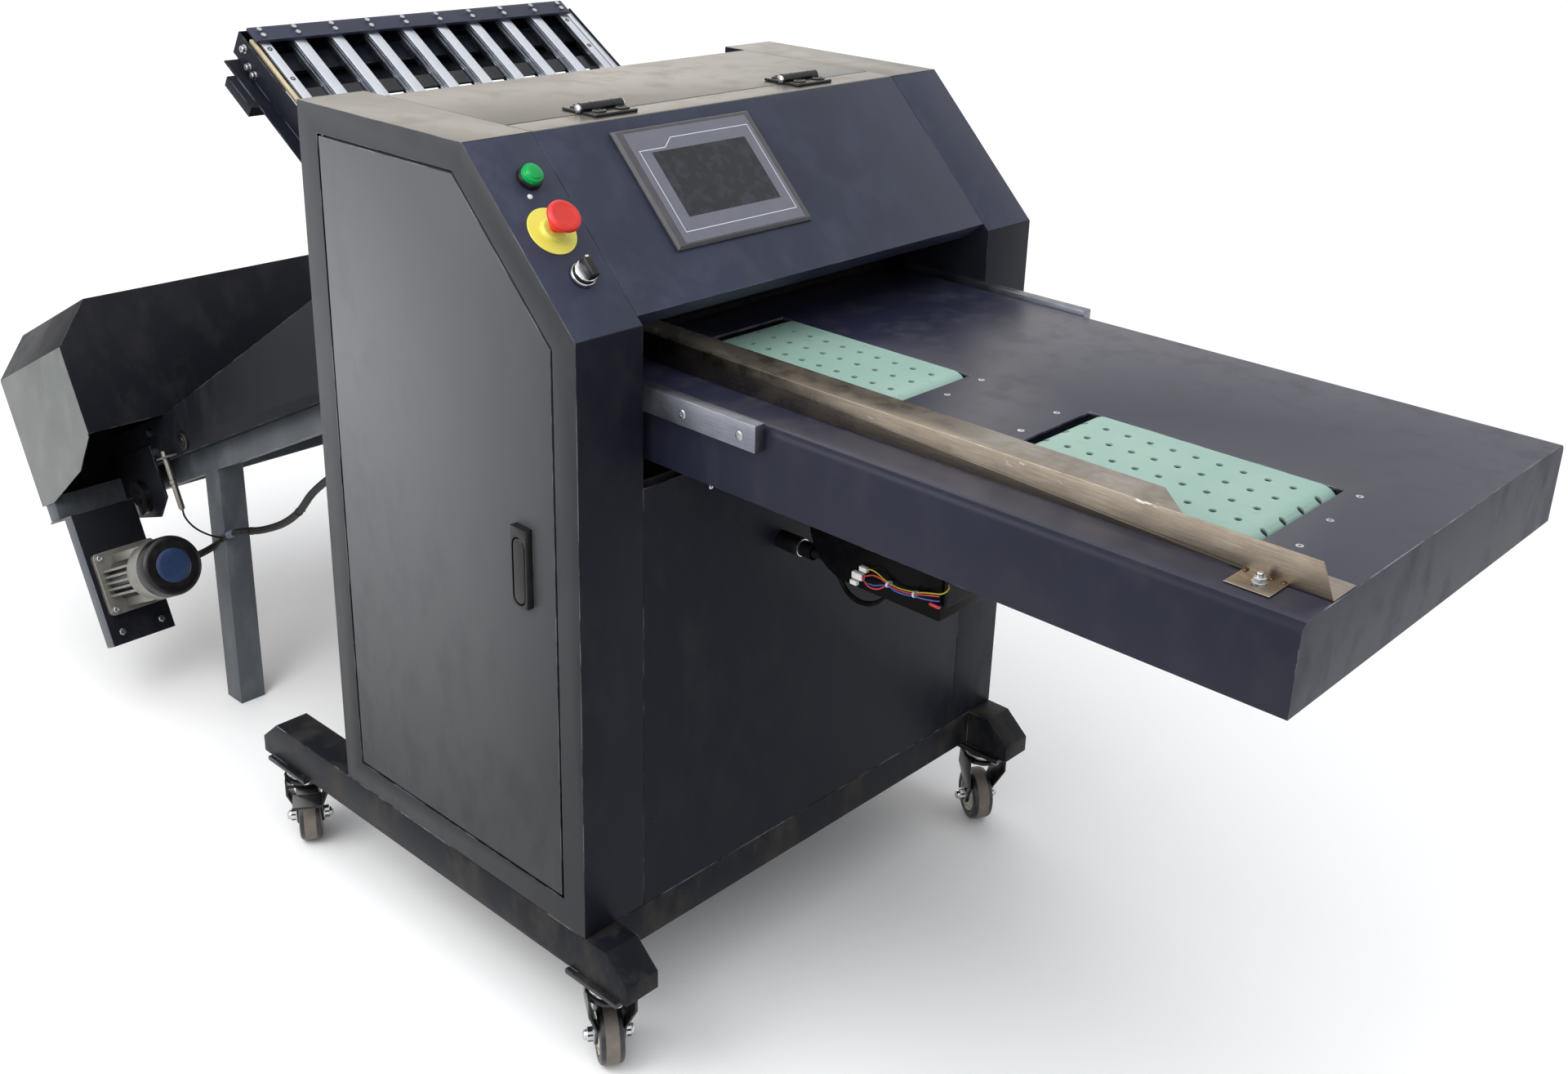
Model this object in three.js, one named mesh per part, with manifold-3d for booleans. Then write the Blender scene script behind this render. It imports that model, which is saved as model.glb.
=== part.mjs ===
// Paper folding machine: vacuum feed table, creasing cabinet, slatted fold plate and sloping delivery.
// Millimetres, +X to the right of the person at the feed table, +Y to the rear, +Z up from the floor.
import * as THREE from 'three';
import { mergeVertices } from 'three/addons/utils/BufferGeometryUtils.js';
import Module from 'manifold-3d';

const wasm = await Module();
wasm.setup();

// Clearances and ways of making
const gap = 0.3;
const overrun = 6;
const weld = 1;
const roundFacets = 24;
const rollerFacets = 16;
const smallFacets = 12;
const nutFacets = 6;
const sheet = 2.5;

// Whole machine
const cabinetWidth = 825;
const cabinetDepth = 508;
const cabinetTop = 1150;
const cabinetBottom = 202;
const slopeRise = 184;
const frontReach = 785;
const rearReach = 1545;
const halfWidth = cabinetWidth / 2;
const slopeFoot = cabinetTop - slopeRise;
const slopeDepth = slopeRise;
const slopeTilt = Math.PI / 4;

// Housings at both sides of the cabinet
const housingWidth = 96.5;
const bearingWall = 6;
const housingInner = halfWidth - housingWidth;

// Base frame and castors
const beamWidth = 52;
const beamUnderside = 143.5;
const beamFront = -75;
const beamRearReach = 226;
const beamRear = cabinetDepth + beamRearReach;
const beamNoseRun = 38;
const beamNoseHeight = 25;
const crossbarDepth = 40;
const crossbarLift = 6;
const crossbarInset = 48;
const crossbarRear = cabinetDepth - crossbarInset;
const castorInset = 59;
const castorRearInset = 68;
const castorFrontY = beamFront + castorInset;
const castorRearY = beamRear - castorRearInset;
const castorYaw = THREE.MathUtils.degToRad(147);
const castorPlateWidth = 66;
const castorPlateLength = 95;
const castorPlateThickness = 6;
const raceRadius = 27;
const raceHeight = 12;
const kingPinRadius = 6;
const crownRadius = 32;
const crownThickness = 6;
const crownHalfLength = 22;
const forkLeg = 3.5;
const forkFlare = 11;
const forkWaist = 62;
const forkShoulder = 20;
const wheelRadius = 40;
const wheelWidth = 32;
const treadRound = 5;
const hubRadius = 15;
const rimInnerRadius = 27;
const rimRecess = 5;
const trail = 18;
const axleRadius = 5;
const nutRadius = 9;
const nutHeight = 8;
const legEndHalf = 13;
const legEndDrop = 11;
const legTipHalf = 8;
const pedalPivotRadius = 2.5;
const pedalPivotFore = 14;
const pedalPivotDrop = 10;
const pedalThickness = 4;
const pedalNeck = 14;
const pedalFoot = 16.6;
const pedalFall = 22;
const pedalFootHalf = 21.5;

// Sheet panels of the cabinet
const coverInset = 42;
const coverRearRise = 62;
const hoodRoof = 44;
const coverBackY = cabinetDepth - coverInset;
const coverRearFoot = slopeFoot + coverRearRise;
const hoodBackY = slopeDepth + hoodRoof;
const hoodFootRun = 9;
const hoodDepth = 28;
const panelDrop = 28;
const panelDepth = 20;
const rearPanelDrop = 276;
const rearPanelTop = slopeFoot - rearPanelDrop;
const doorMargin = 42;
const doorGap = 3;
const doorThickness = 18;
const doorTopDrop = 38;
const doorLip = 8;
const doorPivotInset = 4;
const doorPinRadius = 1.6;
const doorPinLength = 8;
const lugHeight = 14;
const lugHalf = 8;
const lockFrontInset = 39;
const lockLow = 625;
const lockHeight = 100;
const lockWidth = 28;
const lockProud = 10;
const lockSink = 1;
const lockFootMargin = 3;
const handleWidth = 20;
const handleHeight = 84;
const handleThickness = 8;
const handleGap = 1.6;
const handlePinSkin = 1.4;
const handlePinRadius = 2.5;
const handlePinRise = 6;

// Hood hinges
const hingeInset = 141;
const hingePlace = housingInner - hingeInset;
const hingeLength = 66;
const hingeKnuckle = 34;
const hingeRadius = 6;
const hingePinRadius = 3;
const hingeLeaf = 2.5;
const hingeLeafReach = 30;
const hingeHead = 2.5;

// Operating parts on the slope: x, distance up the slope, sizes
const screenInset = 216;
const screenX = screenInset - housingInner;
const screenUp = 158.5;
const screenWidth = 227;
const screenHeight = 165;
const screenProud = 6;
const screenBodyMargin = 7;
const screenBodyDepth = 34;
const lampInset = 57.5;
const lampX = lampInset - halfWidth;
const lampUp = 202;
const lampRadius = 15;
const lampCollar = 7;
const lampLensRadius = 12.5;
const lampLens = 9;
const mountingBore = 11;
const mountingReach = 24;
const stopInset = 49.5;
const stopX = stopInset - halfWidth;
const stopUp = 134;
const stopPlateRadius = 30;
const stopPlateThickness = 1.2;
const stopConeRadius = 17;
const stopConeTop = 13;
const stopConeHeight = 6;
const stopShaftRadius = 6;
const stopNeckRadius = 13;
const stopNeckFoot = 14;
const stopHeadFoot = 24;
const stopHeadTop = 34;
const stopHeadRadius = 20;
const stopHeadRound = 3;
const selectorInset = 54.5;
const selectorX = selectorInset - halfWidth;
const selectorUp = 74;
const selectorRadius = 14;
const selectorBody = 12;
const selectorGripHeight = 13;
const selectorGripHalf = 5;

// Feed table with its two suction belts
const tableSideGap = 16;
const tableDrop = 74;
const tableThickness = 92;
const tableHalfWidth = housingInner - tableSideGap;
const tableTop = slopeFoot - tableDrop;
const panelTop = tableTop - tableThickness - panelDrop;
const tableBackY = 150;
const tableRound = 10;
const beltInset = 110;
const beltWidth = 185;
const beltLeft = beltInset - tableHalfWidth;
const beltRight = beltLeft + beltWidth;
const beltProud = 0.5;
const beltThickness = 2;
const beltSpan = 294;
const frontBeltInset = 109;
const frontBeltFront = frontBeltInset - frontReach;
const rearBeltFront = -215;
const beltRollerRadius = 18;
const beltJournalRadius = 5;
const windowGap = 2;
const webThickness = 4;
const webSpace = 4;
const bedHeight = 24;
const bedWall = 3;
const barHeight = 31;
const barTopDrop = -5;
const barFront = -172;
const barRear = 130;

// Side guide on the table
const guideInset = 57;
const guideX = guideInset - tableHalfWidth;
const guideSheet = 1.5;
const guideHeight = 33;
const guideFlange = 43;
const guideFrontInset = 1;
const guideNoseLength = 194;
const guideFrontY = guideFrontInset - frontReach;
const guideFlangeFrontY = guideFrontY + guideNoseLength;
const guideSkew = 45;
const guideBackY = 140;
const guideNose = 14;
const guideTabInset = 42;
const guideTabFrontY = guideFrontY + guideTabInset;
const guideTabLength = 44;
const guideTabReach = 34;

// Suction blower under the table and its lead
const blowerLeftInset = 25;
const blowerRightInset = 55;
const blowerLeft = beltLeft + blowerLeftInset;
const blowerRight = beltRight - blowerRightInset;
const blowerRearY = -120;
const blowerFrontY = -316;
const blowerDrop = 133;
const blowerFoot = tableTop - tableThickness - blowerDrop;
const blowerRound = 62;
const blowerFlange = 4;
const blowerFlangeSide = 12;
const socketX = -82;
const socketDrop = 136;
const socketHeight = panelTop - socketDrop;
const socketRadius = 10;
const socketReach = 58;
const socketCollarRadius = 12;
const socketCollar = 14;
const leadRadius = 3.5;
const leadFacets = 8;
const leadSteps = 18;

// Infeed, creasing and fold rollers between the housings
const rollerRadius = 20;
const rollerEndGap = 16;
const rollerHalfLength = housingInner - rollerEndGap;
const journalRadius = 8;
const journalReach = 5;
const infeedY = 176;
const anvilY = 255;
const anvilDepth = 36;
const anvilHeight = 44;
const anvilGroove = 3;
const anvilGrooveDepth = 4;
const bladeThickness = 8;
const bladeLift = 16;
const bladeHeight = 70;
const bladeTravel = 18;
const bladeTip = 6;
const bladeSlotDepth = 4;
const foldRollerAngle = THREE.MathUtils.degToRad(-20);

// Slatted fold plate, in its own plane rising to the rear
const foldTilt = THREE.MathUtils.degToRad(32);
const foldPlateRise = 8;
const foldPlateZ = slopeFoot + foldPlateRise;
const foldPlateTop = 395;
const foldNip = -115;
const slatCount = 8;
const slatWidth = 18;
const slatHeight = 14;
const slatFoot = -84;
const slatSeat = -3.5;
const slatGroove = 2;
const slatGrooveDepth = 2.5;
const slatTie = 18;
const sideInset = 26;
const sideX = housingInner - sideInset;
const endBarInset = 26;
const endBarCentre = sideX - endBarInset;
const endBarSpace = 54;
const slatPitch = (2 * (endBarCentre - endBarSpace)) / (slatCount - 1);
const endBarWidth = 14;
const endBarHeight = 8;
const railWidth = 28;
const railThickness = 5;
const railInset = 12;
const railHalfLength = sideX - railInset;
const boltRadius = 4;
const boltHeight = 3;
const boltSpread = 6;
const foldGap = 5;
const lowerSlatWidth = 12;
const lowerSlatHeight = 3;
const sideHeight = 39;
const sideFlange = 20;
const sideFoot = -60;
const sideTop = 381;
const lowerBarWidth = 37;
const lowerBarHeight = 8;
const lowerBarPlaces = [-40, 140, 330];
const mountEarFoot = -40;
const mountEarLength = 60;
const sideBlockFoot = 286;
const sideBlockLength = 65;
const sideBlockHeight = 15;
const sideBlockReach = 12;
const stopBarPlace = 260;
const stopBarWidth = 26;
const stopBarHeight = 3.6;

// Delivery, in its own plane falling to the rear
const deliveryTilt = THREE.MathUtils.degToRad(26);
const deliveryDrop = 190;
const deliveryZ = slopeFoot - deliveryDrop;
const railFoot = -60;
const railEnd = 1004;
const railTubeWidth = 45;
const railTubeHeight = 40;
const trayInset = 31;
const trayHalfWidth = housingInner - trayInset;
const tubeInset = 36;
const railOuter = trayHalfWidth - tubeInset;
const outriggerStart = 965;
const legFrontY = 1103;
const legDepth = 45;
const traySheet = 2;
const trayStart = -10;
const trayWallStart = 158;
const trayWallEnd = 72;
const coverStart = 733.5;
const coverTop = 285;
const coverChamferWidth = 61;
const coverChamferHeight = 68;
const coverCutStart = 811;
const coverCutHeight = 22;
const coverRearDrop = -10;
const carrierRadius = 14;
const carrierHeight = 20;
const carrierFirst = 40;
const carrierLast = 690;
const carrierBeltInset = 85;
const carrierBeltHalfWidth = trayHalfWidth - carrierBeltInset;
const pressRadius = 16;
const pressPlace = 800;
const smallJournalRadius = 6;
const bracketPlace = 910;
const bracketWidth = 110.5;
const bracketInner = bracketWidth - halfWidth;
const bracketDrop = 272;
const bracketSheet = 3;
const bracketSide = 30;
const motorSideRoom = 5;
const motorFlange = 108;
const motorFlangeThickness = 12;
const motorBody = 112;
const motorBodyRadius = 46;
const motorFinDepth = 5;
const motorFinHalf = 24;
const motorFins = 5;
const motorFinShare = 0.5;
const motorCap = 58;
const motorCapRadius = 50;
const motorCapRound = 8;
const motorShaftRadius = 8;
const motorShaftReach = 26;
const motorDropFromFrame = 128;
const motorBoxSize = 30;
const cableRadius = 6;
const cableSteps = 40;
const glandInset = 26;
const glandX = glandInset - housingInner;
const glandDrop = 50;
const glandHeight = rearPanelTop - glandDrop;
const glandRadius = 11;
const glandReach = 24;

// Finishes
function finish(colour, roughness, metalness) {
  return new THREE.MeshStandardMaterial({ color: colour, roughness, metalness });
}
const paint = () => finish(0x30343f, 0.6, 0.1);
const greyPaint = () => finish(0x9a9c98, 0.6, 0.1);
const blackPaint = () => finish(0x1c1d21, 0.5, 0.1);
const blackPlastic = () => finish(0x17181a, 0.5, 0);
const stainless = () => finish(0x8d857c, 0.35, 1);
const aluminium = () => finish(0xc3c7cc, 0.35, 1);
const steel = () => finish(0xb4b6b8, 0.3, 1);
const rubberCoat = () => finish(0x2a2a2c, 0.8, 0);
const beltGreen = () => finish(0x9cc7b4, 0.8, 0);
const tread = () => finish(0x55504c, 0.85, 0);
const red = () => finish(0xd8483f, 0.45, 0);
const yellow = () => finish(0xe6dd6a, 0.5, 0);
const green = () => finish(0x14b878, 0.3, 0);
const cableBlack = () => finish(0x1b1b1c, 0.7, 0);

// Solids: plain geometries, and joins and cuts of them
function solid(geometry) {
  const bare = geometry.clone();
  bare.deleteAttribute('normal');
  bare.deleteAttribute('uv');
  const merged = mergeVertices(bare);
  const index = Array.from(merged.index.array);
  const triangles = [];
  for (let i = 0; i < index.length; i += 3) {
    const [a, b, c] = index.slice(i, i + 3);
    if (a !== b && b !== c && a !== c) triangles.push(a, b, c);
  }
  const mesh = new wasm.Mesh({
    numProp: 3,
    vertProperties: new Float32Array(merged.attributes.position.array),
    triVerts: new Uint32Array(triangles),
  });
  return new wasm.Manifold(mesh);
}

function plain(manifold) {
  const mesh = manifold.getMesh();
  const indexed = new THREE.BufferGeometry();
  indexed.setAttribute('position', new THREE.BufferAttribute(new Float32Array(mesh.vertProperties), 3));
  indexed.setIndex(Array.from(mesh.triVerts));
  const geometry = indexed.toNonIndexed();
  geometry.computeVertexNormals();
  return geometry;
}

function join(...geometries) {
  return plain(geometries.map(solid).reduce((whole, next) => whole.add(next)));
}

function cut(geometry, ...tools) {
  return plain(tools.map(solid).reduce((whole, next) => whole.subtract(next), solid(geometry)));
}

function common(geometry, other) {
  return plain(solid(geometry).intersect(solid(other)));
}

function box(left, right, front, rear, bottom, top) {
  const geometry = new THREE.BoxGeometry(right - left, rear - front, top - bottom);
  return geometry.translate((left + right) / 2, (front + rear) / 2, (bottom + top) / 2);
}

const axisX = new THREE.Vector3(1, 0, 0);
const axisY = new THREE.Vector3(0, 1, 0);
const axisZ = new THREE.Vector3(0, 0, 1);
const sideView = new THREE.Matrix4().makeBasis(axisY, axisZ, axisX);
const frontView = new THREE.Matrix4().makeBasis(axisX, axisZ, axisY.clone().negate());

function shapeOf(outline) {
  return new THREE.Shape(outline.map(([across, up]) => new THREE.Vector2(across, up)));
}

// An outline of (y, z) points, drawn out across the machine
function prismAcross(outline, left, right) {
  const geometry = new THREE.ExtrudeGeometry(shapeOf(outline), { depth: right - left, bevelEnabled: false });
  return geometry.applyMatrix4(sideView).translate(left, 0, 0);
}

// An outline of (x, z) points, drawn out from front to rear
function prismAlong(outline, front, rear) {
  const geometry = new THREE.ExtrudeGeometry(shapeOf(outline), { depth: rear - front, bevelEnabled: false });
  return geometry.applyMatrix4(frontView).translate(0, rear, 0);
}

// An outline of (x, y) points, drawn upwards
function prismUp(outline, bottom, top) {
  const geometry = new THREE.ExtrudeGeometry(shapeOf(outline), { depth: top - bottom, bevelEnabled: false });
  return geometry.translate(0, 0, bottom);
}

// A profile of (radius, place) points, turned round an axis
function turned(profile, facets = roundFacets) {
  return new THREE.LatheGeometry(profile.map(([radius, place]) => new THREE.Vector2(radius, place)), facets);
}

function turnedAcross(profile, facets) {
  return turned(profile, facets).rotateZ(-Math.PI / 2);
}

function turnedUp(profile, facets) {
  return turned(profile, facets).rotateX(Math.PI / 2);
}

function disc(radius, from, to) {
  return [[0, from], [radius, from], [radius, to], [0, to]];
}

function arc(centreY, centreZ, radius, from, to, steps) {
  return Array.from({ length: steps + 1 }, (_, i) => {
    const angle = from + ((to - from) * i) / steps;
    return [centreY + radius * Math.cos(angle), centreZ + radius * Math.sin(angle)];
  });
}

const machine = new THREE.Group();
machine.position.y = -(rearReach - frontReach) / 2;

const slopeGroup = new THREE.Group();
slopeGroup.position.set(0, 0, slopeFoot);
slopeGroup.rotation.x = slopeTilt;

const foldGroup = new THREE.Group();
foldGroup.position.set(0, cabinetDepth, foldPlateZ);
foldGroup.rotation.x = foldTilt;

const deliveryGroup = new THREE.Group();
deliveryGroup.position.set(0, cabinetDepth, deliveryZ);
deliveryGroup.rotation.x = -deliveryTilt;

for (const group of [slopeGroup, foldGroup, deliveryGroup]) {
  group.updateMatrix();
  machine.add(group);
}

function addPiece(group, name, geometry, material) {
  const mesh = new THREE.Mesh(geometry, material);
  mesh.name = name;
  group.add(mesh);
  return mesh;
}

// Base frame: two beams with chamfered ends, two crossbars and the castor plates welded under them
const beamTop = cabinetBottom - gap;
const castorX = halfWidth - beamWidth / 2;
const castorPlateFoot = beamUnderside - castorPlateThickness;
const raceFoot = castorPlateFoot - raceHeight;

function beam(side) {
  const outline = [
    [beamFront, beamUnderside],
    [beamRear, beamUnderside],
    [beamRear, beamUnderside + beamNoseHeight],
    [beamRear - beamNoseRun, beamTop],
    [beamFront + beamNoseRun, beamTop],
    [beamFront, beamUnderside + beamNoseHeight],
  ];
  const outer = side * halfWidth;
  const inner = side * (halfWidth - beamWidth);
  return prismAcross(outline, Math.min(outer, inner), Math.max(outer, inner));
}

function castorPlate(x, y) {
  const halfPlate = castorPlateWidth / 2;
  const halfPlateLength = castorPlateLength / 2;
  const plate = box(x - halfPlate, x + halfPlate, y - halfPlateLength, y + halfPlateLength,
    castorPlateFoot, beamUnderside + weld);
  const race = turnedUp(disc(raceRadius, raceFoot, castorPlateFoot + weld)).translate(x, y, 0);
  const bore = turnedUp(disc(kingPinRadius + gap, raceFoot - overrun, castorPlateFoot), smallFacets);
  return cut(join(plate, race), bore.translate(x, y, 0));
}

function baseFrame() {
  const inside = halfWidth - beamWidth + weld;
  const bars = [0, crossbarRear].map((front) => box(-inside, inside, front, front + crossbarDepth,
    beamUnderside + crossbarLift, beamTop));
  const plates = [];
  for (const x of [-castorX, castorX]) {
    for (const y of [castorFrontY, castorRearY]) plates.push(castorPlate(x, y));
  }
  return join(beam(-1), beam(1), ...bars, ...plates);
}
addPiece(machine, 'base_frame', baseFrame(), paint());

// Castors: a fork with its axle and nuts, a wheel, and a brake pedal at the rear
const crownTop = raceFoot - gap;
const crownFoot = crownTop - crownThickness;
const legInner = wheelWidth / 2 + gap;
const legOuter = legInner + forkLeg;
const pedalPivotZ = crownFoot - pedalPivotDrop;

function forkLegGeometry(side) {
  const profile = [
    [crownHalfLength, crownTop],
    [-crownHalfLength, crownTop],
    [-trail - legEndHalf, wheelRadius],
    [-trail - legTipHalf, wheelRadius - legEndDrop],
    [-trail + legTipHalf, wheelRadius - legEndDrop],
    [-trail + legEndHalf, wheelRadius],
    [crownHalfLength, crownFoot - forkShoulder],
  ];
  const section = [
    [legInner, wheelRadius - legEndDrop],
    [legOuter, wheelRadius - legEndDrop],
    [legOuter, forkWaist],
    [legOuter + forkFlare, crownFoot - forkShoulder],
    [legOuter + forkFlare, crownTop],
    [legInner + forkFlare, crownTop],
    [legInner + forkFlare, crownFoot - forkShoulder],
    [legInner, forkWaist],
  ].map(([across, up]) => [side * across, up]);
  const reach = legOuter + forkFlare + overrun;
  const legDepth = 2 * (crownHalfLength + trail);
  return common(prismAcross(profile, -reach, reach), prismAlong(section, -legDepth, legDepth));
}

function forkGeometry(braked) {
  const crown = turnedUp(disc(crownRadius, crownFoot, crownTop - weld), rollerFacets);
  const pin = turnedUp(disc(kingPinRadius, crownFoot + weld, castorPlateFoot - gap), smallFacets);
  const axle = turnedAcross(disc(axleRadius, -legOuter, legOuter), smallFacets).translate(0, -trail, wheelRadius);
  const nuts = [-legOuter - nutHeight, legOuter - weld].map((from) => turnedAcross(
    disc(nutRadius, from, from + nutHeight + weld), nutFacets).translate(0, -trail, wheelRadius));
  const fork = join(crown, pin, forkLegGeometry(-1), forkLegGeometry(1), axle, ...nuts);
  if (!braked) return fork;
  const reach = legOuter + forkFlare + overrun;
  const pivot = turnedAcross(disc(pedalPivotRadius + gap, -reach, reach), smallFacets);
  return cut(fork, pivot.translate(0, pedalPivotFore, pedalPivotZ));
}

function wheelGeometry() {
  const half = wheelWidth / 2;
  const profile = [
    [axleRadius + gap, -half],
    [hubRadius, -half],
    [rimInnerRadius, -half + rimRecess],
    [wheelRadius - treadRound, -half],
    [wheelRadius, -half + treadRound],
    [wheelRadius, half - treadRound],
    [wheelRadius - treadRound, half],
    [rimInnerRadius, half - rimRecess],
    [hubRadius, half],
    [axleRadius + gap, half],
    [axleRadius + gap, -half],
  ];
  return turnedAcross(profile).translate(0, -trail, wheelRadius);
}

function pedalGeometry() {
  const start = pedalPivotFore;
  const neckEnd = start + pedalNeck;
  const footEnd = neckEnd + pedalFoot;
  const neckFall = (pedalFall * pedalNeck) / (pedalNeck + pedalFoot);
  const neckOutline = [
    [start - pedalThickness, pedalPivotZ - pedalThickness],
    [start, pedalPivotZ - pedalThickness],
    [neckEnd, pedalPivotZ - neckFall],
    [neckEnd, pedalPivotZ + pedalThickness - neckFall],
    [start, pedalPivotZ + pedalThickness],
    [start - pedalThickness, pedalPivotZ + pedalThickness],
  ];
  const footOutline = [
    [neckEnd - weld, pedalPivotZ - neckFall],
    [footEnd, pedalPivotZ - pedalFall],
    [footEnd, pedalPivotZ + pedalThickness - pedalFall],
    [neckEnd - weld, pedalPivotZ + pedalThickness - neckFall],
  ];
  const neckHalf = legInner - gap;
  const pinReach = legOuter + forkFlare;
  const pin = turnedAcross(disc(pedalPivotRadius, -pinReach, pinReach), smallFacets);
  return join(prismAcross(neckOutline, -neckHalf, neckHalf),
    prismAcross(footOutline, -pedalFootHalf, pedalFootHalf),
    pin.translate(0, pedalPivotFore, pedalPivotZ));
}

for (const [end, y] of [['front', castorFrontY], ['rear', castorRearY]]) {
  for (const [side, x] of [['left', -castorX], ['right', castorX]]) {
    const castor = new THREE.Group();
    castor.position.set(x, y, 0);
    castor.rotation.z = castorYaw;
    machine.add(castor);
    const braked = end === 'rear';
    addPiece(castor, `castor_fork_${end}_${side}`, forkGeometry(braked), blackPaint());
    addPiece(castor, `castor_wheel_${end}_${side}`, wheelGeometry(), tread());
    if (braked) addPiece(castor, `brake_pedal_${side}`, pedalGeometry(), blackPaint());
  }
}

// Housings: sheet boxes with a thick inner wall that carries the rollers
const foldMatrix = foldGroup.matrix;
const lowerSlatTop = slatSeat - slatHeight - foldGap;
const foldNipPoint = new THREE.Vector3(0, foldNip, slatSeat - slatHeight - foldGap / 2).applyMatrix4(foldMatrix);
const foldUp = new THREE.Vector3(0, -Math.sin(foldTilt), Math.cos(foldTilt));
const rollerPitch = 2 * rollerRadius + gap;
const foldRollerUpper = foldNipPoint.clone().addScaledVector(foldUp, rollerPitch / 2);
const foldRollerMiddle = foldNipPoint.clone().addScaledVector(foldUp, -rollerPitch / 2);
const foldRollerLower = foldRollerMiddle.clone().add(
  new THREE.Vector3(0, rollerPitch * Math.cos(foldRollerAngle), rollerPitch * Math.sin(foldRollerAngle)));
const infeedLower = new THREE.Vector3(0, infeedY, tableTop - rollerRadius);
const infeedUpper = new THREE.Vector3(0, infeedY, tableTop - rollerRadius + rollerPitch);
const rollerPlaces = {
  infeed_roller_lower: infeedLower,
  infeed_roller_upper: infeedUpper,
  fold_roller_upper: foldRollerUpper,
  fold_roller_middle: foldRollerMiddle,
  fold_roller_lower: foldRollerLower,
};
const bladeFoot = tableTop + bladeLift;

function cabinetOutline(inset) {
  const slopeInset = inset * Math.tan(slopeTilt / 2);
  return [
    [inset, cabinetBottom + inset],
    [cabinetDepth - inset, cabinetBottom + inset],
    [cabinetDepth - inset, cabinetTop - inset],
    [slopeDepth + slopeInset, cabinetTop - inset],
    [inset, slopeFoot - slopeInset],
  ];
}

function doorOutline(grow) {
  const front = doorMargin - grow;
  const rear = cabinetDepth - doorMargin + grow;
  const top = cabinetTop - doorTopDrop + grow;
  const cornerShift = grow * Math.tan(slopeTilt / 2);
  const drop = Math.SQRT2 * doorMargin;
  const cornerZ = slopeFoot + doorMargin - drop;
  return [
    [front, cabinetBottom + doorMargin - grow],
    [rear, cabinetBottom + doorMargin - grow],
    [rear, top],
    [top - grow - slopeFoot + drop - cornerShift, top],
    [front, cornerZ + cornerShift],
  ];
}

function rollerBores(left, right) {
  return Object.values(rollerPlaces).map((place) => turnedAcross(
    disc(journalRadius + gap, left, right), smallFacets).translate(0, place.y, place.z));
}

function bladeSlot(left, right) {
  const half = bladeThickness / 2 + gap;
  return box(left, right, anvilY - half, anvilY + half, bladeFoot - bladeTravel - gap, bladeFoot + bladeHeight + gap);
}

function onSlope(geometry, x, up) {
  return geometry.translate(x, up, 0).applyMatrix4(slopeGroup.matrix);
}

const doorRear = cabinetDepth - doorMargin;
const doorFoot = cabinetBottom + doorMargin;
const doorTop = cabinetTop - doorTopDrop;
const doorPivotX = -halfWidth + doorPivotInset;
const doorPivotY = doorRear - doorPivotInset;

function leftHousing() {
  const outer = prismAcross(cabinetOutline(0), -halfWidth, -housingInner);
  const inside = prismAcross(cabinetOutline(sheet), -halfWidth + sheet, -housingInner - bearingWall);
  const opening = prismAcross(doorOutline(doorGap), -halfWidth - overrun, -halfWidth + overrun);
  const lipLeft = -halfWidth + doorThickness + 2 * gap;
  const lip = cut(
    prismAcross(cabinetOutline(sheet - weld), lipLeft, lipLeft + sheet),
    prismAcross(doorOutline(-doorLip), lipLeft - overrun, lipLeft + sheet + overrun));
  const lugs = [doorFoot - doorGap - lugHeight, doorTop + doorGap].map((foot) => box(
    -halfWidth + weld, lipLeft + weld, doorPivotY - lugHalf, doorPivotY + lugHalf, foot, foot + lugHeight));
  const pinBores = [doorFoot - doorGap - overrun, doorTop + doorGap - overrun].map((foot) => turnedUp(
    disc(doorPinRadius + gap, foot, foot + 2 * overrun), smallFacets).translate(doorPivotX, doorPivotY, 0));
  const bores = [[lampX, lampUp], [selectorX, selectorUp], [stopX, stopUp]].map(([x, up]) => onSlope(
    turnedUp(disc(mountingBore + gap, -overrun, overrun)), x, up));
  const journals = rollerBores(-housingInner - bearingWall - overrun, -housingInner + overrun);
  const shell = cut(outer, inside, opening);
  return cut(join(shell, lip, ...lugs), ...pinBores, ...bores, ...journals,
    bladeSlot(-housingInner - bladeSlotDepth, -housingInner + overrun));
}

function rightHousing() {
  const outer = prismAcross(cabinetOutline(0), housingInner, halfWidth);
  const inside = prismAcross(cabinetOutline(sheet), housingInner + bearingWall, halfWidth - sheet);
  const service = box(housingInner + bearingWall, halfWidth - sheet, sheet, cabinetDepth - sheet,
    cabinetBottom - overrun, cabinetBottom + overrun);
  const journals = rollerBores(housingInner - overrun, housingInner + bearingWall + overrun);
  return cut(outer, inside, service, ...journals,
    bladeSlot(housingInner - overrun, housingInner + bladeSlotDepth));
}
addPiece(machine, 'left_housing', leftHousing(), paint());
addPiece(machine, 'right_housing', rightHousing(), paint());

// Side door, its lock with a handle let into the proud plate
const lockFront = doorMargin + lockFrontInset;
const handleHeel = lockLow + lockFootMargin;
const handlePinZ = handleHeel + handlePinRise;
const handleMiddle = lockFront + lockWidth / 2;
const handleFace = -halfWidth - lockProud;
const handlePinX = handleFace + handleThickness / 2;
const handlePinReach = lockWidth / 2 - handlePinSkin;

function handleOutline(grow) {
  const steps = 6;
  const half = handleWidth / 2;
  return [
    ...arc(handleMiddle, handleHeel + handleHeight - half, half + grow, 0, Math.PI, steps),
    ...arc(handleMiddle, handleHeel + half, half + grow, Math.PI, 2 * Math.PI, steps),
  ];
}

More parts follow.
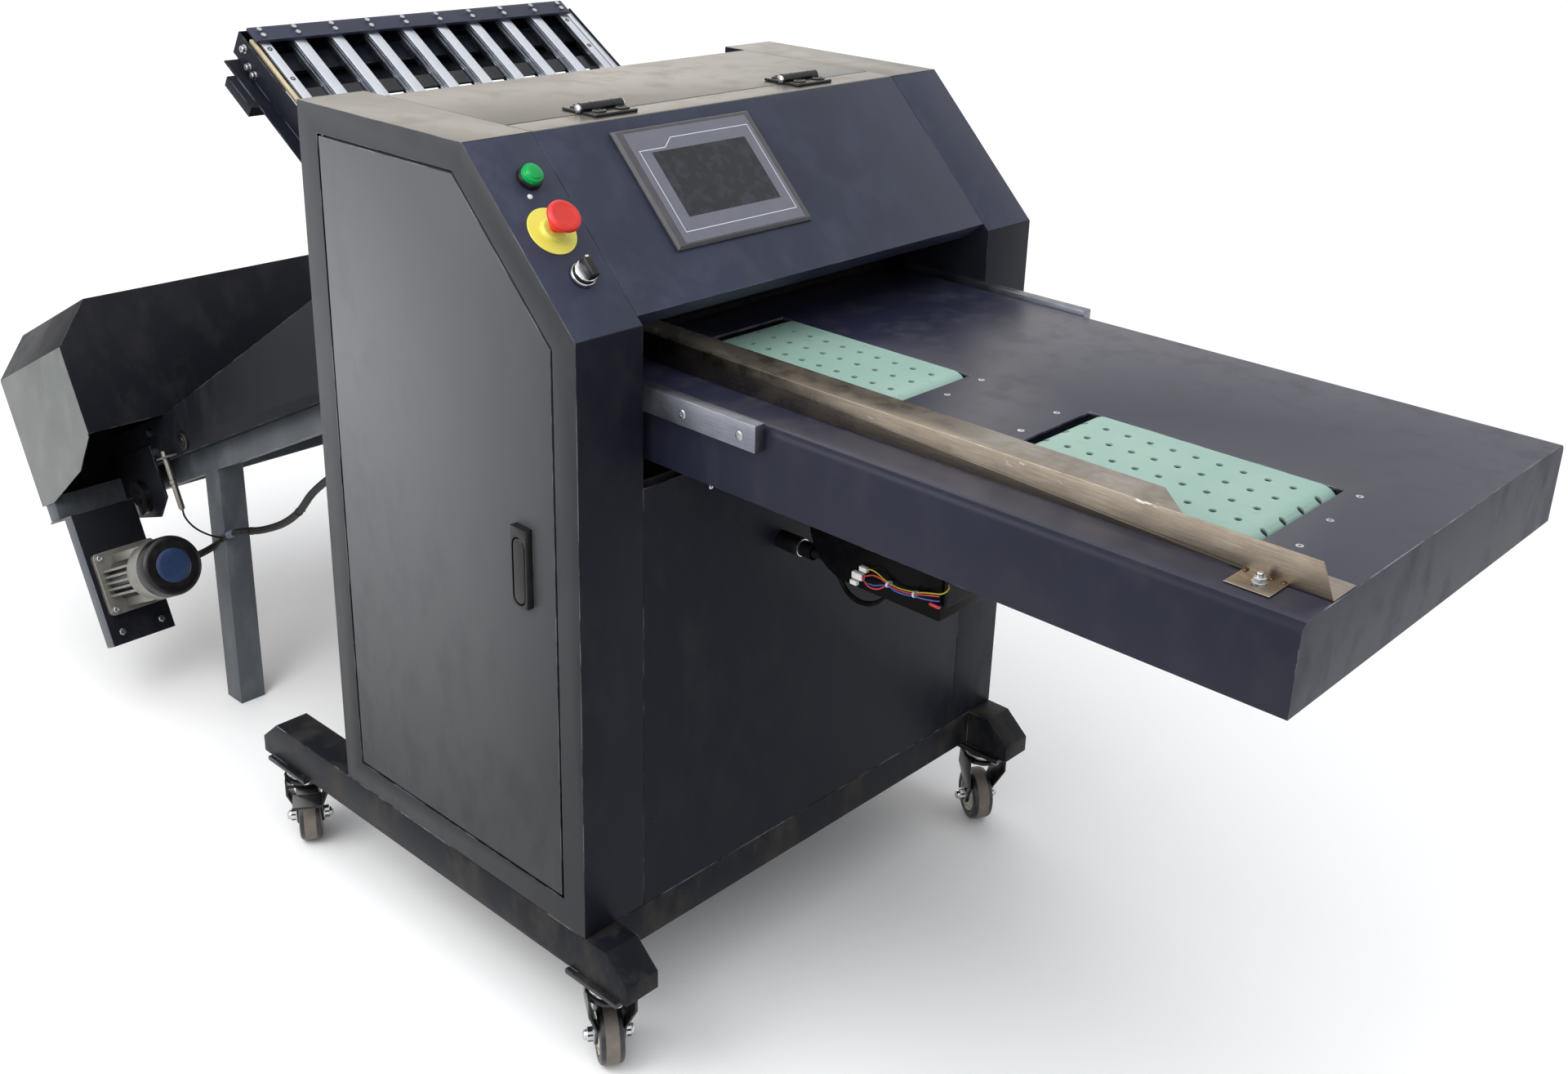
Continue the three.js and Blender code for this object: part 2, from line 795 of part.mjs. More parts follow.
function sideDoor() {
  const tray = cut(
    prismAcross(doorOutline(0), -halfWidth, -halfWidth + doorThickness),
    prismAcross(doorOutline(-sheet), -halfWidth + sheet, -halfWidth + doorThickness + overrun));
  const pins = [doorFoot - doorPinLength, doorTop - weld].map((foot) => turnedUp(
    disc(doorPinRadius, foot, foot + doorPinLength + weld), smallFacets).translate(doorPivotX, doorPivotY, 0));
  const corners = [doorFoot, doorTop - lugHeight].map((foot) => box(-halfWidth + weld, doorPivotX + doorPivotInset,
    doorPivotY - doorPivotInset, doorRear - weld, foot + weld, foot + lugHeight - weld));
  const lockPlate = box(handleFace, -halfWidth + weld, lockFront, lockFront + lockWidth,
    lockLow, lockLow + lockHeight);
  const recess = prismAcross(handleOutline(handleGap), handleFace - overrun, -halfWidth + lockSink);
  const reach = handlePinReach + gap;
  const pinBore = turned(disc(handlePinRadius + gap, -reach, reach), smallFacets)
    .translate(handlePinX, handleMiddle, handlePinZ);
  return cut(join(tray, ...pins, ...corners, lockPlate), recess, pinBore);
}

function doorHandle() {
  const grip = prismAcross(handleOutline(0), handleFace, handleFace + handleThickness);
  const pin = turned(disc(handlePinRadius, -handlePinReach, handlePinReach), smallFacets)
    .translate(handlePinX, handleMiddle, handlePinZ);
  return join(grip, pin);
}
addPiece(machine, 'side_door', sideDoor(), paint());
addPiece(machine, 'door_handle', doorHandle(), blackPlastic());

// Covers between the housings
const coverHalf = housingInner - gap;

function topCover() {
  const front = hoodBackY + doorGap;
  const outer = box(-coverHalf, coverHalf, front, coverBackY, coverRearFoot, cabinetTop);
  const inside = box(-coverHalf + sheet, coverHalf - sheet, front - overrun, coverBackY - sheet,
    coverRearFoot - overrun, cabinetTop - sheet);
  return cut(outer, inside);
}

function frontPanel() {
  const outer = box(-coverHalf, coverHalf, 0, panelDepth, cabinetBottom, panelTop);
  const inside = box(-coverHalf + sheet, coverHalf - sheet, sheet, panelDepth + overrun,
    cabinetBottom + sheet, panelTop - sheet);
  const collar = turned(disc(socketCollarRadius, -sheet, socketCollar));
  const body = turned(disc(socketRadius, 0, socketReach));
  const socket = join(collar, body).rotateX(Math.PI).translate(socketX, 0, socketHeight);
  return join(cut(outer, inside), socket);
}

function rearPanel() {
  const front = coverBackY - panelDepth;
  const outer = box(-coverHalf, coverHalf, front, coverBackY, cabinetBottom, rearPanelTop);
  const inside = box(-coverHalf + sheet, coverHalf - sheet, front - overrun, coverBackY - sheet,
    cabinetBottom + sheet, rearPanelTop - sheet);
  const gland = turned(disc(glandRadius, coverBackY - weld, coverBackY + glandReach), nutFacets);
  return join(cut(outer, inside), gland.translate(glandX, 0, glandHeight));
}
addPiece(machine, 'top_cover', topCover(), paint());
addPiece(machine, 'front_panel', frontPanel(), paint());
addPiece(machine, 'rear_panel', rearPanel(), paint());

// Hood: bent sheet that swings up on two hinges
const hingeY = hoodBackY + doorGap / 2;
const hingeZ = cabinetTop + gap + hingeRadius;

function hoodOutline(skin, depth, end) {
  const skinShift = skin * Math.tan(slopeTilt / 2);
  const depthShift = depth * Math.tan(slopeTilt / 2);
  const run = (distance) => hoodFootRun + (distance + end) * Math.sin(slopeTilt);
  const rise = (distance) => slopeFoot + hoodFootRun + (end - distance) * Math.sin(slopeTilt);
  return [
    [run(skin), rise(skin)],
    [slopeDepth + skinShift, cabinetTop - skin],
    [hoodBackY - end, cabinetTop - skin],
    [hoodBackY - end, cabinetTop - depth],
    [slopeDepth + depthShift, cabinetTop - depth],
    [run(depth), rise(depth)],
  ];
}

function hood() {
  const outer = prismAcross(hoodOutline(0, hoodDepth, 0), -coverHalf, coverHalf);
  const inside = prismAcross(hoodOutline(sheet, hoodDepth + overrun, sheet), -coverHalf + sheet, coverHalf - sheet);
  const halfBody = [screenWidth / 2 - screenBodyMargin + gap, screenHeight / 2 - screenBodyMargin + gap];
  const window = onSlope(box(-halfBody[0], halfBody[0], -halfBody[1], halfBody[1], -overrun, overrun),
    screenX, screenUp);
  const knuckle = (hingeLength - hingeKnuckle) / 2 - gap;
  const leaves = [-hingePlace, hingePlace].map((x) => box(x - hingeLength / 2, x + hingeLength / 2,
    hingeY - hingeLeafReach, hingeY - hingeRadius - gap, cabinetTop - weld, cabinetTop + gap + hingeLeaf));
  const barrels = [];
  const bores = [];
  for (const x of [-hingePlace, hingePlace]) {
    for (const from of [x - hingeLength / 2, x + hingeLength / 2 - knuckle]) {
      barrels.push(turnedAcross(disc(hingeRadius, from, from + knuckle), smallFacets).translate(0, hingeY, hingeZ));
      barrels.push(box(from, from + knuckle, hingeY - hingeRadius - weld, hingeY,
        cabinetTop + gap, cabinetTop + gap + hingeLeaf));
    }
    bores.push(turnedAcross(disc(hingePinRadius + gap, x - hingeLength, x + hingeLength), smallFacets)
      .translate(0, hingeY, hingeZ));
  }
  return cut(join(cut(outer, inside, window), ...leaves, ...barrels), ...bores);
}

function hoodHinge(x) {
  const middle = turnedAcross(disc(hingeRadius, -hingeKnuckle / 2, hingeKnuckle / 2), smallFacets);
  const reach = hingeLength / 2 + gap;
  const pin = turnedAcross(disc(hingePinRadius, -reach - weld, reach + weld), smallFacets);
  const heads = [-reach - hingeHead, reach].map((from) => turnedAcross(
    disc(hingeRadius, from, from + hingeHead), smallFacets));
  const barrel = join(middle, pin, ...heads).translate(x, hingeY, hingeZ);
  const stem = box(x - hingeKnuckle / 2, x + hingeKnuckle / 2, hingeY, hingeY + hingeRadius + gap + weld,
    cabinetTop + gap, cabinetTop + gap + hingeLeaf);
  const leaf = box(x - hingeLength / 2, x + hingeLength / 2, hingeY + hingeRadius + gap,
    hingeY + hingeLeafReach, cabinetTop + gap, cabinetTop + gap + hingeLeaf);
  return join(barrel, stem, leaf);
}
addPiece(machine, 'hood', hood(), paint());
addPiece(machine, 'hood_hinge_left', hoodHinge(-hingePlace), blackPaint());
addPiece(machine, 'hood_hinge_right', hoodHinge(hingePlace), blackPaint());

// Touch panel, lamp, emergency stop and selector, seated on the slope
function touchPanel() {
  const bezel = box(-screenWidth / 2, screenWidth / 2, -screenHeight / 2, screenHeight / 2, gap, gap + screenProud);
  const halfBody = [screenWidth / 2 - screenBodyMargin, screenHeight / 2 - screenBodyMargin];
  const body = box(-halfBody[0], halfBody[0], -halfBody[1], halfBody[1], -screenBodyDepth, gap + weld);
  return join(bezel, body);
}

function pilotLamp() {
  const profile = [
    [0, -mountingReach],
    [mountingBore, -mountingReach],
    [mountingBore, gap],
    [lampRadius, gap],
    [lampRadius, gap + lampCollar],
    [lampLensRadius, gap + lampCollar],
    [lampLensRadius, gap + lampCollar + lampLens],
    [0, gap + lampCollar + lampLens],
  ];
  return turnedUp(profile);
}

function stopPlate() {
  const profile = [
    [stopShaftRadius + gap, -mountingReach],
    [mountingBore, -mountingReach],
    [mountingBore, gap],
    [stopPlateRadius, gap],
    [stopPlateRadius, gap + stopPlateThickness],
    [stopConeRadius, gap + stopPlateThickness],
    [stopConeTop, gap + stopConeHeight],
    [stopShaftRadius + gap, gap + stopConeHeight],
    [stopShaftRadius + gap, -mountingReach],
  ];
  return turnedUp(profile);
}

function stopButton() {
  const profile = [
    [0, -mountingReach],
    [stopShaftRadius, -mountingReach],
    [stopShaftRadius, stopNeckFoot],
    [stopNeckRadius, stopNeckFoot],
    [stopNeckRadius, stopHeadFoot],
    [stopHeadRadius, stopHeadFoot + stopHeadRound],
    [stopHeadRadius, stopHeadTop - stopHeadRound],
    [stopHeadRadius - stopHeadRound, stopHeadTop],
    [0, stopHeadTop],
  ];
  return turnedUp(profile);
}

function selectorKnob() {
  const profile = [
    [0, -mountingReach],
    [mountingBore, -mountingReach],
    [mountingBore, gap],
    [selectorRadius, gap],
    [selectorRadius, gap + selectorBody],
    [0, gap + selectorBody],
  ];
  const foot = gap + selectorBody - weld;
  const grip = box(-selectorGripHalf, selectorGripHalf, -selectorRadius + 2 * weld, selectorRadius - 2 * weld,
    foot, foot + selectorGripHeight);
  return join(turnedUp(profile), grip);
}

const slopePieces = [
  ['touch_panel', touchPanel(), screenX, screenUp, greyPaint()],
  ['pilot_lamp', pilotLamp(), lampX, lampUp, green()],
  ['emergency_stop_plate', stopPlate(), stopX, stopUp, yellow()],
  ['emergency_stop_button', stopButton(), stopX, stopUp, red()],
  ['selector_knob', selectorKnob(), selectorX, selectorUp, blackPlastic()],
];
for (const [name, geometry, x, up, material] of slopePieces) {
  addPiece(slopeGroup, name, geometry, material).position.set(x, up, 0);
}

// Feed table: a tray open below, with webs and beds for the two suction belts
const tableBottom = tableTop - tableThickness;
const beltTop = tableTop + beltProud;
const beltRollerZ = beltTop - beltThickness - gap - beltRollerRadius;
const beltOuter = beltRollerRadius + gap + beltThickness;
const beltFronts = { front: frontBeltFront, rear: rearBeltFront };

function rollerYs(front) {
  return [front + beltOuter, front + beltSpan - beltOuter];
}

function tableOutline(inset) {
  const steps = 4;
  const half = tableHalfWidth - inset;
  const top = tableTop - inset;
  const round = tableRound - inset;
  const bottom = inset > 0 ? tableBottom - overrun : tableBottom;
  return [
    [-half, bottom],
    [half, bottom],
    ...arc(half - round, top - round, round, 0, Math.PI / 2, steps),
    ...arc(-half + round, top - round, round, Math.PI / 2, Math.PI, steps),
  ];
}

function feedTable() {
  const outer = prismAlong(tableOutline(0), -frontReach, tableBackY);
  const inside = prismAlong(tableOutline(sheet), -frontReach + sheet, tableBackY - sheet);
  const tools = [];
  const extras = [];
  const webs = [[beltLeft - webSpace - webThickness, beltLeft - webSpace],
    [beltRight + webSpace, beltRight + webSpace + webThickness]];
  const bays = cut(inside, ...webs.map(([left, right]) => box(left, right, -frontReach, tableBackY,
    tableBottom - 2 * overrun, tableTop)));
  for (const front of Object.values(beltFronts)) {
    const rear = front + beltSpan;
    tools.push(box(beltLeft - windowGap, beltRight + windowGap, front - windowGap, rear + windowGap,
      tableTop - overrun, tableTop + overrun));
    const [first, last] = rollerYs(front);
    const bedTop = beltTop - beltThickness - gap;
    const bed = box(webs[0][0] + weld, webs[1][1] - weld, first + beltOuter, last - beltOuter,
      bedTop - bedHeight, bedTop);
    const hollow = box(beltLeft, beltRight, first + beltOuter + bedWall, last - beltOuter - bedWall,
      bedTop - bedHeight - overrun, bedTop - bedWall);
    extras.push(cut(bed, hollow));
    for (const y of [first, last]) {
      tools.push(turnedAcross(disc(beltJournalRadius + gap, webs[0][0] - overrun, webs[1][1] + overrun), smallFacets)
        .translate(0, y, beltRollerZ));
    }
  }
  return cut(join(cut(outer, bays), ...extras), ...tools);
}

function beltGeometry(front) {
  const steps = roundFacets / 2;
  const [first, last] = rollerYs(front);
  const loop = (radius) => [
    ...arc(last, beltRollerZ, radius, -Math.PI / 2, Math.PI / 2, steps),
    ...arc(first, beltRollerZ, radius, Math.PI / 2, (3 * Math.PI) / 2, steps),
  ];
  return cut(prismAcross(loop(beltOuter), beltLeft, beltRight),
    prismAcross(loop(beltOuter - beltThickness), beltLeft - overrun, beltRight + overrun));
}

function beltRoller() {
  const journalEnds = [beltLeft - webSpace - webThickness, beltRight + webSpace + webThickness];
  return turnedAcross([
    [0, journalEnds[0]],
    [beltJournalRadius, journalEnds[0]],
    [beltJournalRadius, beltLeft],
    [beltRollerRadius, beltLeft],
    [beltRollerRadius, beltRight],
    [beltJournalRadius, beltRight],
    [beltJournalRadius, journalEnds[1]],
    [0, journalEnds[1]],
  ]);
}

addPiece(machine, 'feed_table', feedTable(), paint());
for (const [end, front] of Object.entries(beltFronts)) {
  addPiece(machine, `feed_belt_${end}`, beltGeometry(front), beltGreen());
  rollerYs(front).forEach((y, i) => {
    const name = `feed_belt_${end}_roller_${i === 0 ? 'front' : 'rear'}`;
    addPiece(machine, name, beltRoller(), rubberCoat()).position.set(0, y, beltRollerZ);
  });
}

// Aluminium bars that carry the table from the housings
const barTop = tableTop - barTopDrop;
for (const [side, sign] of [['left', -1], ['right', 1]]) {
  const ends = [sign * (tableHalfWidth + gap), sign * (housingInner - gap)];
  addPiece(machine, `table_bar_${side}`, box(Math.min(...ends), Math.max(...ends), barFront, barRear,
    barTop - barHeight, barTop), aluminium());
}

// Side guide: a folded channel with a tab that clamps it to the table
function sideGuide() {
  const foot = tableTop + gap;
  const top = foot + guideHeight;
  const wallOutline = [
    [guideFrontY, foot],
    [guideBackY, foot],
    [guideBackY, top],
    [guideFrontY + guideNose, top],
  ];
  const wall = prismAcross(wallOutline, guideX, guideX + guideSheet);
  const base = box(guideX, guideX + guideFlange, guideFrontY, frontBeltFront - windowGap - overrun,
    foot, foot + guideSheet);
  const flange = prismUp([
    [guideX, guideFlangeFrontY - guideSkew],
    [guideX + guideFlange, guideFlangeFrontY],
    [guideX + guideFlange, guideBackY],
    [guideX, guideBackY],
  ], top - guideSheet, top);
  const tab = box(guideX - guideTabReach, guideX + guideSheet, guideTabFrontY, guideTabFrontY + guideTabLength,
    foot, foot + guideSheet);
  return join(wall, base, flange, tab);
}
addPiece(machine, 'side_guide', sideGuide(), stainless());

// Suction blower hung under the table webs, with its lead from the socket on the front panel
function blower() {
  const steps = 6;
  const top = tableBottom - gap;
  const outline = [
    [blowerFrontY, top - weld],
    [blowerFrontY, blowerFoot],
    ...arc(blowerRearY - blowerRound, blowerFoot + blowerRound, blowerRound, -Math.PI / 2, 0, steps),
    [blowerRearY, top - weld],
  ];
  const flange = box(beltLeft - webSpace - blowerFlangeSide, beltRight + webSpace + blowerFlangeSide,
    blowerFrontY, blowerRearY, top - blowerFlange, top);
  return join(prismAcross(outline, blowerLeft, blowerRight), flange);
}

function tube(points, radius, steps) {
  const curve = new THREE.CatmullRomCurve3(points.map((point) => new THREE.Vector3(...point)));
  const shape = shapeOf(Array.from({ length: leadFacets }, (_, i) => {
    const angle = (2 * Math.PI * i) / leadFacets;
    return [radius * Math.cos(angle), radius * Math.sin(angle)];
  }));
  return new THREE.ExtrudeGeometry(shape, { steps, extrudePath: curve, bevelEnabled: false });
}

const blowerLead = [
  [socketX, -socketReach - gap, socketHeight],
  [socketX, -76, socketHeight],
  [-86, -100, 624],
  [-96, -128, 610],
  [-106, -158, 612],
  [-113, -188, 626],
  [-116, -206, 645],
  [-116, -212, 656],
  [-116, -212, blowerFoot - gap],
];
addPiece(machine, 'blower', blower(), blackPlastic());
addPiece(machine, 'blower_lead', tube(blowerLead, leadRadius, leadSteps), cableBlack());

// Rollers, anvil and creasing blade between the housings
const journalEnd = housingInner + bearingWall;
const rollerProfile = [
  [0, -journalEnd],
  [journalRadius, -journalEnd],
  [journalRadius, -rollerHalfLength],
  [rollerRadius, -rollerHalfLength],
  [rollerRadius, rollerHalfLength],
  [journalRadius, rollerHalfLength],
  [journalRadius, journalEnd],
  [0, journalEnd],
];
for (const [name, place] of Object.entries(rollerPlaces)) {
  addPiece(machine, name, turnedAcross(rollerProfile, rollerFacets), rubberCoat()).position.copy(place);
}

function anvil() {
  const block = box(-coverHalf, coverHalf, anvilY - anvilDepth / 2, anvilY + anvilDepth / 2,
    tableTop - anvilHeight, tableTop);
  const groove = box(-coverHalf - overrun, coverHalf + overrun, anvilY - anvilGroove / 2, anvilY + anvilGroove / 2,
    tableTop - anvilGrooveDepth, tableTop + overrun);
  return cut(block, groove);
}

function creasingBlade() {
  const half = bladeThickness / 2;
  const reach = housingInner + bladeSlotDepth - gap;
  const beamOutline = [
    [anvilY - half, bladeFoot + bladeTip],
    [anvilY, bladeFoot],
    [anvilY + half, bladeFoot + bladeTip],
    [anvilY + half, bladeFoot + bladeHeight],
    [anvilY - half, bladeFoot + bladeHeight],
  ];
  return prismAcross(beamOutline, -reach, reach);
}
addPiece(machine, 'creasing_anvil', anvil(), steel());
addPiece(machine, 'creasing_blade', creasingBlade(), steel());

// Fold plate: frame of side angles and crossbars, slats with a bolted top rail, and the sheet stop
const slatTop = slatSeat;
const slatBottom = slatSeat - slatHeight;
const slatXs = Array.from({ length: slatCount }, (_, i) => (i - (slatCount - 1) / 2) * slatPitch);
const endBarXs = [-endBarCentre, endBarCentre];

function slatProfile(x) {
  const half = slatWidth / 2;
  const inner = half - slatGrooveDepth;
  const points = [[half, slatBottom], [half, slatBottom + 2 * slatGroove], [inner, slatBottom + 2 * slatGroove],
    [inner, slatBottom + 3 * slatGroove], [half, slatBottom + 3 * slatGroove], [half, slatBottom + 5 * slatGroove],
    [inner, slatBottom + 5 * slatGroove], [inner, slatBottom + 6 * slatGroove], [half, slatBottom + 6 * slatGroove],
    [half, slatTop]];
  const mirrored = points.map(([across, up]) => [-across, up]).reverse();
  return [...points, ...mirrored].map(([across, up]) => [x + across, up]);
}

function slatGrid() {
  const slats = slatXs.map((x) => prismAlong(slatProfile(x), slatFoot, foldPlateTop));
  const bars = endBarXs.map((x) => box(x - endBarWidth / 2, x + endBarWidth / 2, slatFoot, foldPlateTop,
    slatTop - endBarHeight, slatTop));
  const end = endBarCentre + endBarWidth / 2;
  const ties = [slatFoot, foldPlateTop - slatTie].map((front) => box(-end + weld, end - weld, front + weld,
    front + slatTie - weld, slatTop - endBarHeight + weld, slatTop - weld));
  return join(...slats, ...bars, ...ties);
}

function topRail() {
  const foot = slatTop + gap;
  const rail = box(-railHalfLength, railHalfLength, foldPlateTop - railWidth, foldPlateTop,
    foot, foot + railThickness);
  const bolts = [];
  for (const x of [endBarXs[0], ...slatXs, endBarXs[1]]) {
    for (const offset of [-boltSpread, boltSpread]) {
      bolts.push(turnedUp(disc(boltRadius, foot + railThickness - weld, foot + railThickness + boltHeight), nutFacets)
        .translate(x, foldPlateTop - railWidth / 2 + offset, 0));
    }
  }
  return join(rail, ...bolts);
}

function foldFrame() {
  const pieces = [];
  const flangeTop = slatTop - sideHeight;
  for (const sign of [-1, 1]) {
    const across = (from, to) => [Math.min(sign * from, sign * to), Math.max(sign * from, sign * to)];
    pieces.push(box(...across(sideX - sheet, sideX), sideFoot, sideTop, flangeTop, slatTop));
    pieces.push(box(...across(sideX - weld, sideX + sideFlange), sideFoot, sideTop, flangeTop, flangeTop + sheet));
    pieces.push(box(...across(sideX - weld, coverHalf), mountEarFoot, mountEarFoot + mountEarLength,
      flangeTop, flangeTop + sheet));
    pieces.push(box(...across(sideX + weld, sideX + sideFlange + sideBlockReach), sideBlockFoot,
      sideBlockFoot + sideBlockLength, flangeTop - sideBlockHeight, flangeTop + weld));
  }
  const inner = sideX - weld;
  for (const front of lowerBarPlaces) {
    pieces.push(box(-inner, inner, front, front + lowerBarWidth,
      lowerSlatTop - lowerSlatHeight - lowerBarHeight, lowerSlatTop - lowerSlatHeight));
  }
  const lastBar = lowerBarPlaces[lowerBarPlaces.length - 1];
  for (const x of slatXs) {
    pieces.push(box(x - lowerSlatWidth / 2, x + lowerSlatWidth / 2, sideFoot, lastBar + lowerBarWidth,
      lowerSlatTop - lowerSlatHeight - weld, lowerSlatTop));
  }
  return join(...pieces);
}

function sheetStop() {
  const foot = lowerSlatTop + (foldGap - stopBarHeight) / 2;
  return box(-rollerHalfLength + slatPitch / 2, rollerHalfLength - slatPitch / 2, stopBarPlace,
    stopBarPlace + stopBarWidth, foot, foot + stopBarHeight);
}
addPiece(foldGroup, 'fold_plate_frame', foldFrame(), paint());
addPiece(foldGroup, 'fold_plate_slats', slatGrid(), aluminium());
addPiece(foldGroup, 'fold_plate_rail', topRail(), paint());
addPiece(foldGroup, 'sheet_stop', sheetStop(), blackPaint());

// Delivery: tube frame on two legs, tray with carrier belt, press rollers and their cover
const trayFloor = gap;
const carrierZ = trayFloor + carrierHeight;
const pressUpperZ = carrierZ + 2 * pressRadius + gap;
const deliveryInverse = deliveryGroup.matrix.clone().invert();

function deliveryFrame() {
  const pieces = [];
  for (const sign of [-1, 1]) {
    const left = Math.min(sign * railOuter, sign * (railOuter - railTubeWidth));
    pieces.push(box(left, left + railTubeWidth, railFoot, railEnd, -railTubeHeight, 0));
    const legRun = legFrontY + legDepth - cabinetDepth;
    const legTop = deliveryZ - legRun * Math.tan(deliveryTilt) - railTubeHeight / 2;
    const leg = box(left, left + railTubeWidth, legFrontY, legFrontY + legDepth, 0, legTop);
    pieces.push(leg.applyMatrix4(deliveryInverse));
  }
  const outrigger = halfWidth - sheet - gap;
  pieces.push(box(-coverHalf, coverHalf, railFoot, railFoot + railTubeWidth, -railTubeHeight, 0));
  pieces.push(box(-outrigger, outrigger, outriggerStart, railEnd, -railTubeHeight, 0));
  return join(...pieces);
}

function trayWallTop(y) {
  return trayWallStart + ((trayWallEnd - trayWallStart) * (y - trayStart)) / (coverStart - trayStart);
}

const trayEnd = outriggerStart;
const deliveryRollers = {
  carrier_roller_front: [carrierFirst, carrierZ, carrierRadius],
  carrier_roller_rear: [carrierLast, carrierZ, carrierRadius],
  press_roller_lower: [pressPlace, carrierZ, pressRadius],
  press_roller_upper: [pressPlace, pressUpperZ, pressRadius],
};

function deliveryTray() {
  const outline = [
    [trayStart, trayFloor],
    [trayEnd, trayFloor],
    [trayEnd, trayWallEnd],
    [coverStart, trayWallEnd],
    [trayStart, trayWallStart],
  ];
  const outer = prismAcross(outline, -trayHalfWidth, trayHalfWidth);
  const inside = box(-trayHalfWidth + traySheet, trayHalfWidth - traySheet, trayStart - overrun, trayEnd + overrun,
    trayFloor + traySheet, trayWallStart + overrun);
  const bores = Object.values(deliveryRollers).map(([y, z]) => turnedAcross(
    disc(smallJournalRadius + gap, -trayHalfWidth - overrun, trayHalfWidth + overrun), smallFacets)
    .translate(0, y, z));
  return cut(outer, inside, ...bores);
}

function deliveryRoller(radius) {
  const bodyEnd = trayHalfWidth - traySheet - 2 * gap;
  const journal = trayHalfWidth + journalReach;
  return turnedAcross([
    [0, -journal],
    [smallJournalRadius, -journal],
    [smallJournalRadius, -bodyEnd],
    [radius, -bodyEnd],
    [radius, bodyEnd],
    [smallJournalRadius, bodyEnd],
    [smallJournalRadius, journal],
    [0, journal],
  ], rollerFacets);
}

function carrierBelt() {
  const steps = rollerFacets / 2;
  const outerRadius = carrierRadius + gap + beltThickness;
  const loop = (radius) => [
    ...arc(carrierLast, carrierZ, radius, -Math.PI / 2, Math.PI / 2, steps),
    ...arc(carrierFirst, carrierZ, radius, Math.PI / 2, (3 * Math.PI) / 2, steps),
  ];
  return cut(prismAcross(loop(outerRadius), -carrierBeltHalfWidth, carrierBeltHalfWidth),
    prismAcross(loop(outerRadius - beltThickness), -carrierBeltHalfWidth - overrun, carrierBeltHalfWidth + overrun));
}

// The cover's rear top edge is the rearmost line of the machine
const coverEnd = (rearReach - cabinetDepth - coverTop * Math.sin(deliveryTilt)) / Math.cos(deliveryTilt);

function coverSection(inset) {
  const half = halfWidth - inset;
  const top = coverTop - inset;
  const bottom = inset > 0 ? coverRearDrop - overrun : coverRearDrop;
  return [
    [-half, bottom],
    [half, bottom],
    [half, coverTop - coverChamferHeight],
    [halfWidth - coverChamferWidth, top],
    [-halfWidth + coverChamferWidth, top],
    [-half, coverTop - coverChamferHeight],
  ];
}

function deliveryCover() {
  const outer = prismAlong(coverSection(0), coverStart, coverEnd);
  const inside = prismAlong(coverSection(sheet), coverStart + sheet, coverEnd - sheet);
  const frontFoot = trayWallEnd + gap;
  const sideCut = prismAcross([
    [coverStart - overrun, coverRearDrop - overrun],
    [coverEnd - bracketSide, coverRearDrop - overrun],
    [coverCutStart, coverCutHeight],
    [coverStart - overrun, frontFoot],
  ], -halfWidth - overrun, halfWidth + overrun);
  const frontCut = box(-halfWidth - overrun, halfWidth + overrun, coverStart - overrun, coverStart + sheet,
    coverRearDrop - overrun, frontFoot);
  const mouth = box(-railOuter, railOuter, coverEnd - sheet - overrun, coverEnd + overrun,
    coverRearDrop - overrun, trayWallEnd);
  return cut(outer, inside, sideCut, frontCut, mouth);
}

addPiece(deliveryGroup, 'delivery_frame', deliveryFrame(), greyPaint());
addPiece(deliveryGroup, 'delivery_tray', deliveryTray(), paint());
addPiece(deliveryGroup, 'carrier_belt', carrierBelt(), beltGreen());
for (const [name, [y, z, radius]] of Object.entries(deliveryRollers)) {
  addPiece(deliveryGroup, name, deliveryRoller(radius), rubberCoat()).position.set(0, y, z);
}
addPiece(deliveryGroup, 'delivery_cover', deliveryCover(), paint());

// Delivery motor on its bracket under the outrigger, with the cable to the cabinet
const bracketTop = -railTubeHeight - gap;
const motorX = -halfWidth + bracketSheet + gap + motorFlange / 2 + motorSideRoom;
const motorZ = -railTubeHeight - motorDropFromFrame;

function motorBracket() {
  const foot = bracketTop - bracketDrop + railTubeHeight;
  const plate = box(-halfWidth, bracketInner, bracketPlace, bracketPlace + bracketSheet, foot, bracketTop);
  const side = box(-halfWidth, -halfWidth + bracketSheet, bracketPlace, bracketPlace + bracketSide, foot, bracketTop);
  const top = box(-halfWidth, bracketInner, bracketPlace, railEnd, bracketTop - bracketSheet, bracketTop);
  const bore = turned(disc(motorShaftRadius + gap, bracketPlace - overrun, bracketPlace + bracketSheet + overrun),
    smallFacets).translate(motorX, 0, motorZ);
  return cut(join(plate, side, top), bore);
}

function motorSection() {
  const points = [];
  const sectorAngle = Math.PI / 2;
  for (let side = 0; side < 4; side += 1) {
    const turn = side * sectorAngle;
    const place = (out, along) => [
      out * Math.cos(turn) - along * Math.sin(turn),
      out * Math.sin(turn) + along * Math.cos(turn),
    ];
    const pitch = (2 * motorFinHalf) / (motorFins - motorFinShare);
    for (let i = 0; i < motorFins; i += 1) {
      const start = -motorFinHalf + i * pitch;
      points.push(place(motorBodyRadius - motorFinDepth, start), place(motorBodyRadius, start));
      points.push(place(motorBodyRadius, start + pitch * motorFinShare));
      points.push(place(motorBodyRadius - motorFinDepth, start + pitch * motorFinShare));
    }
  }
  return points;
}

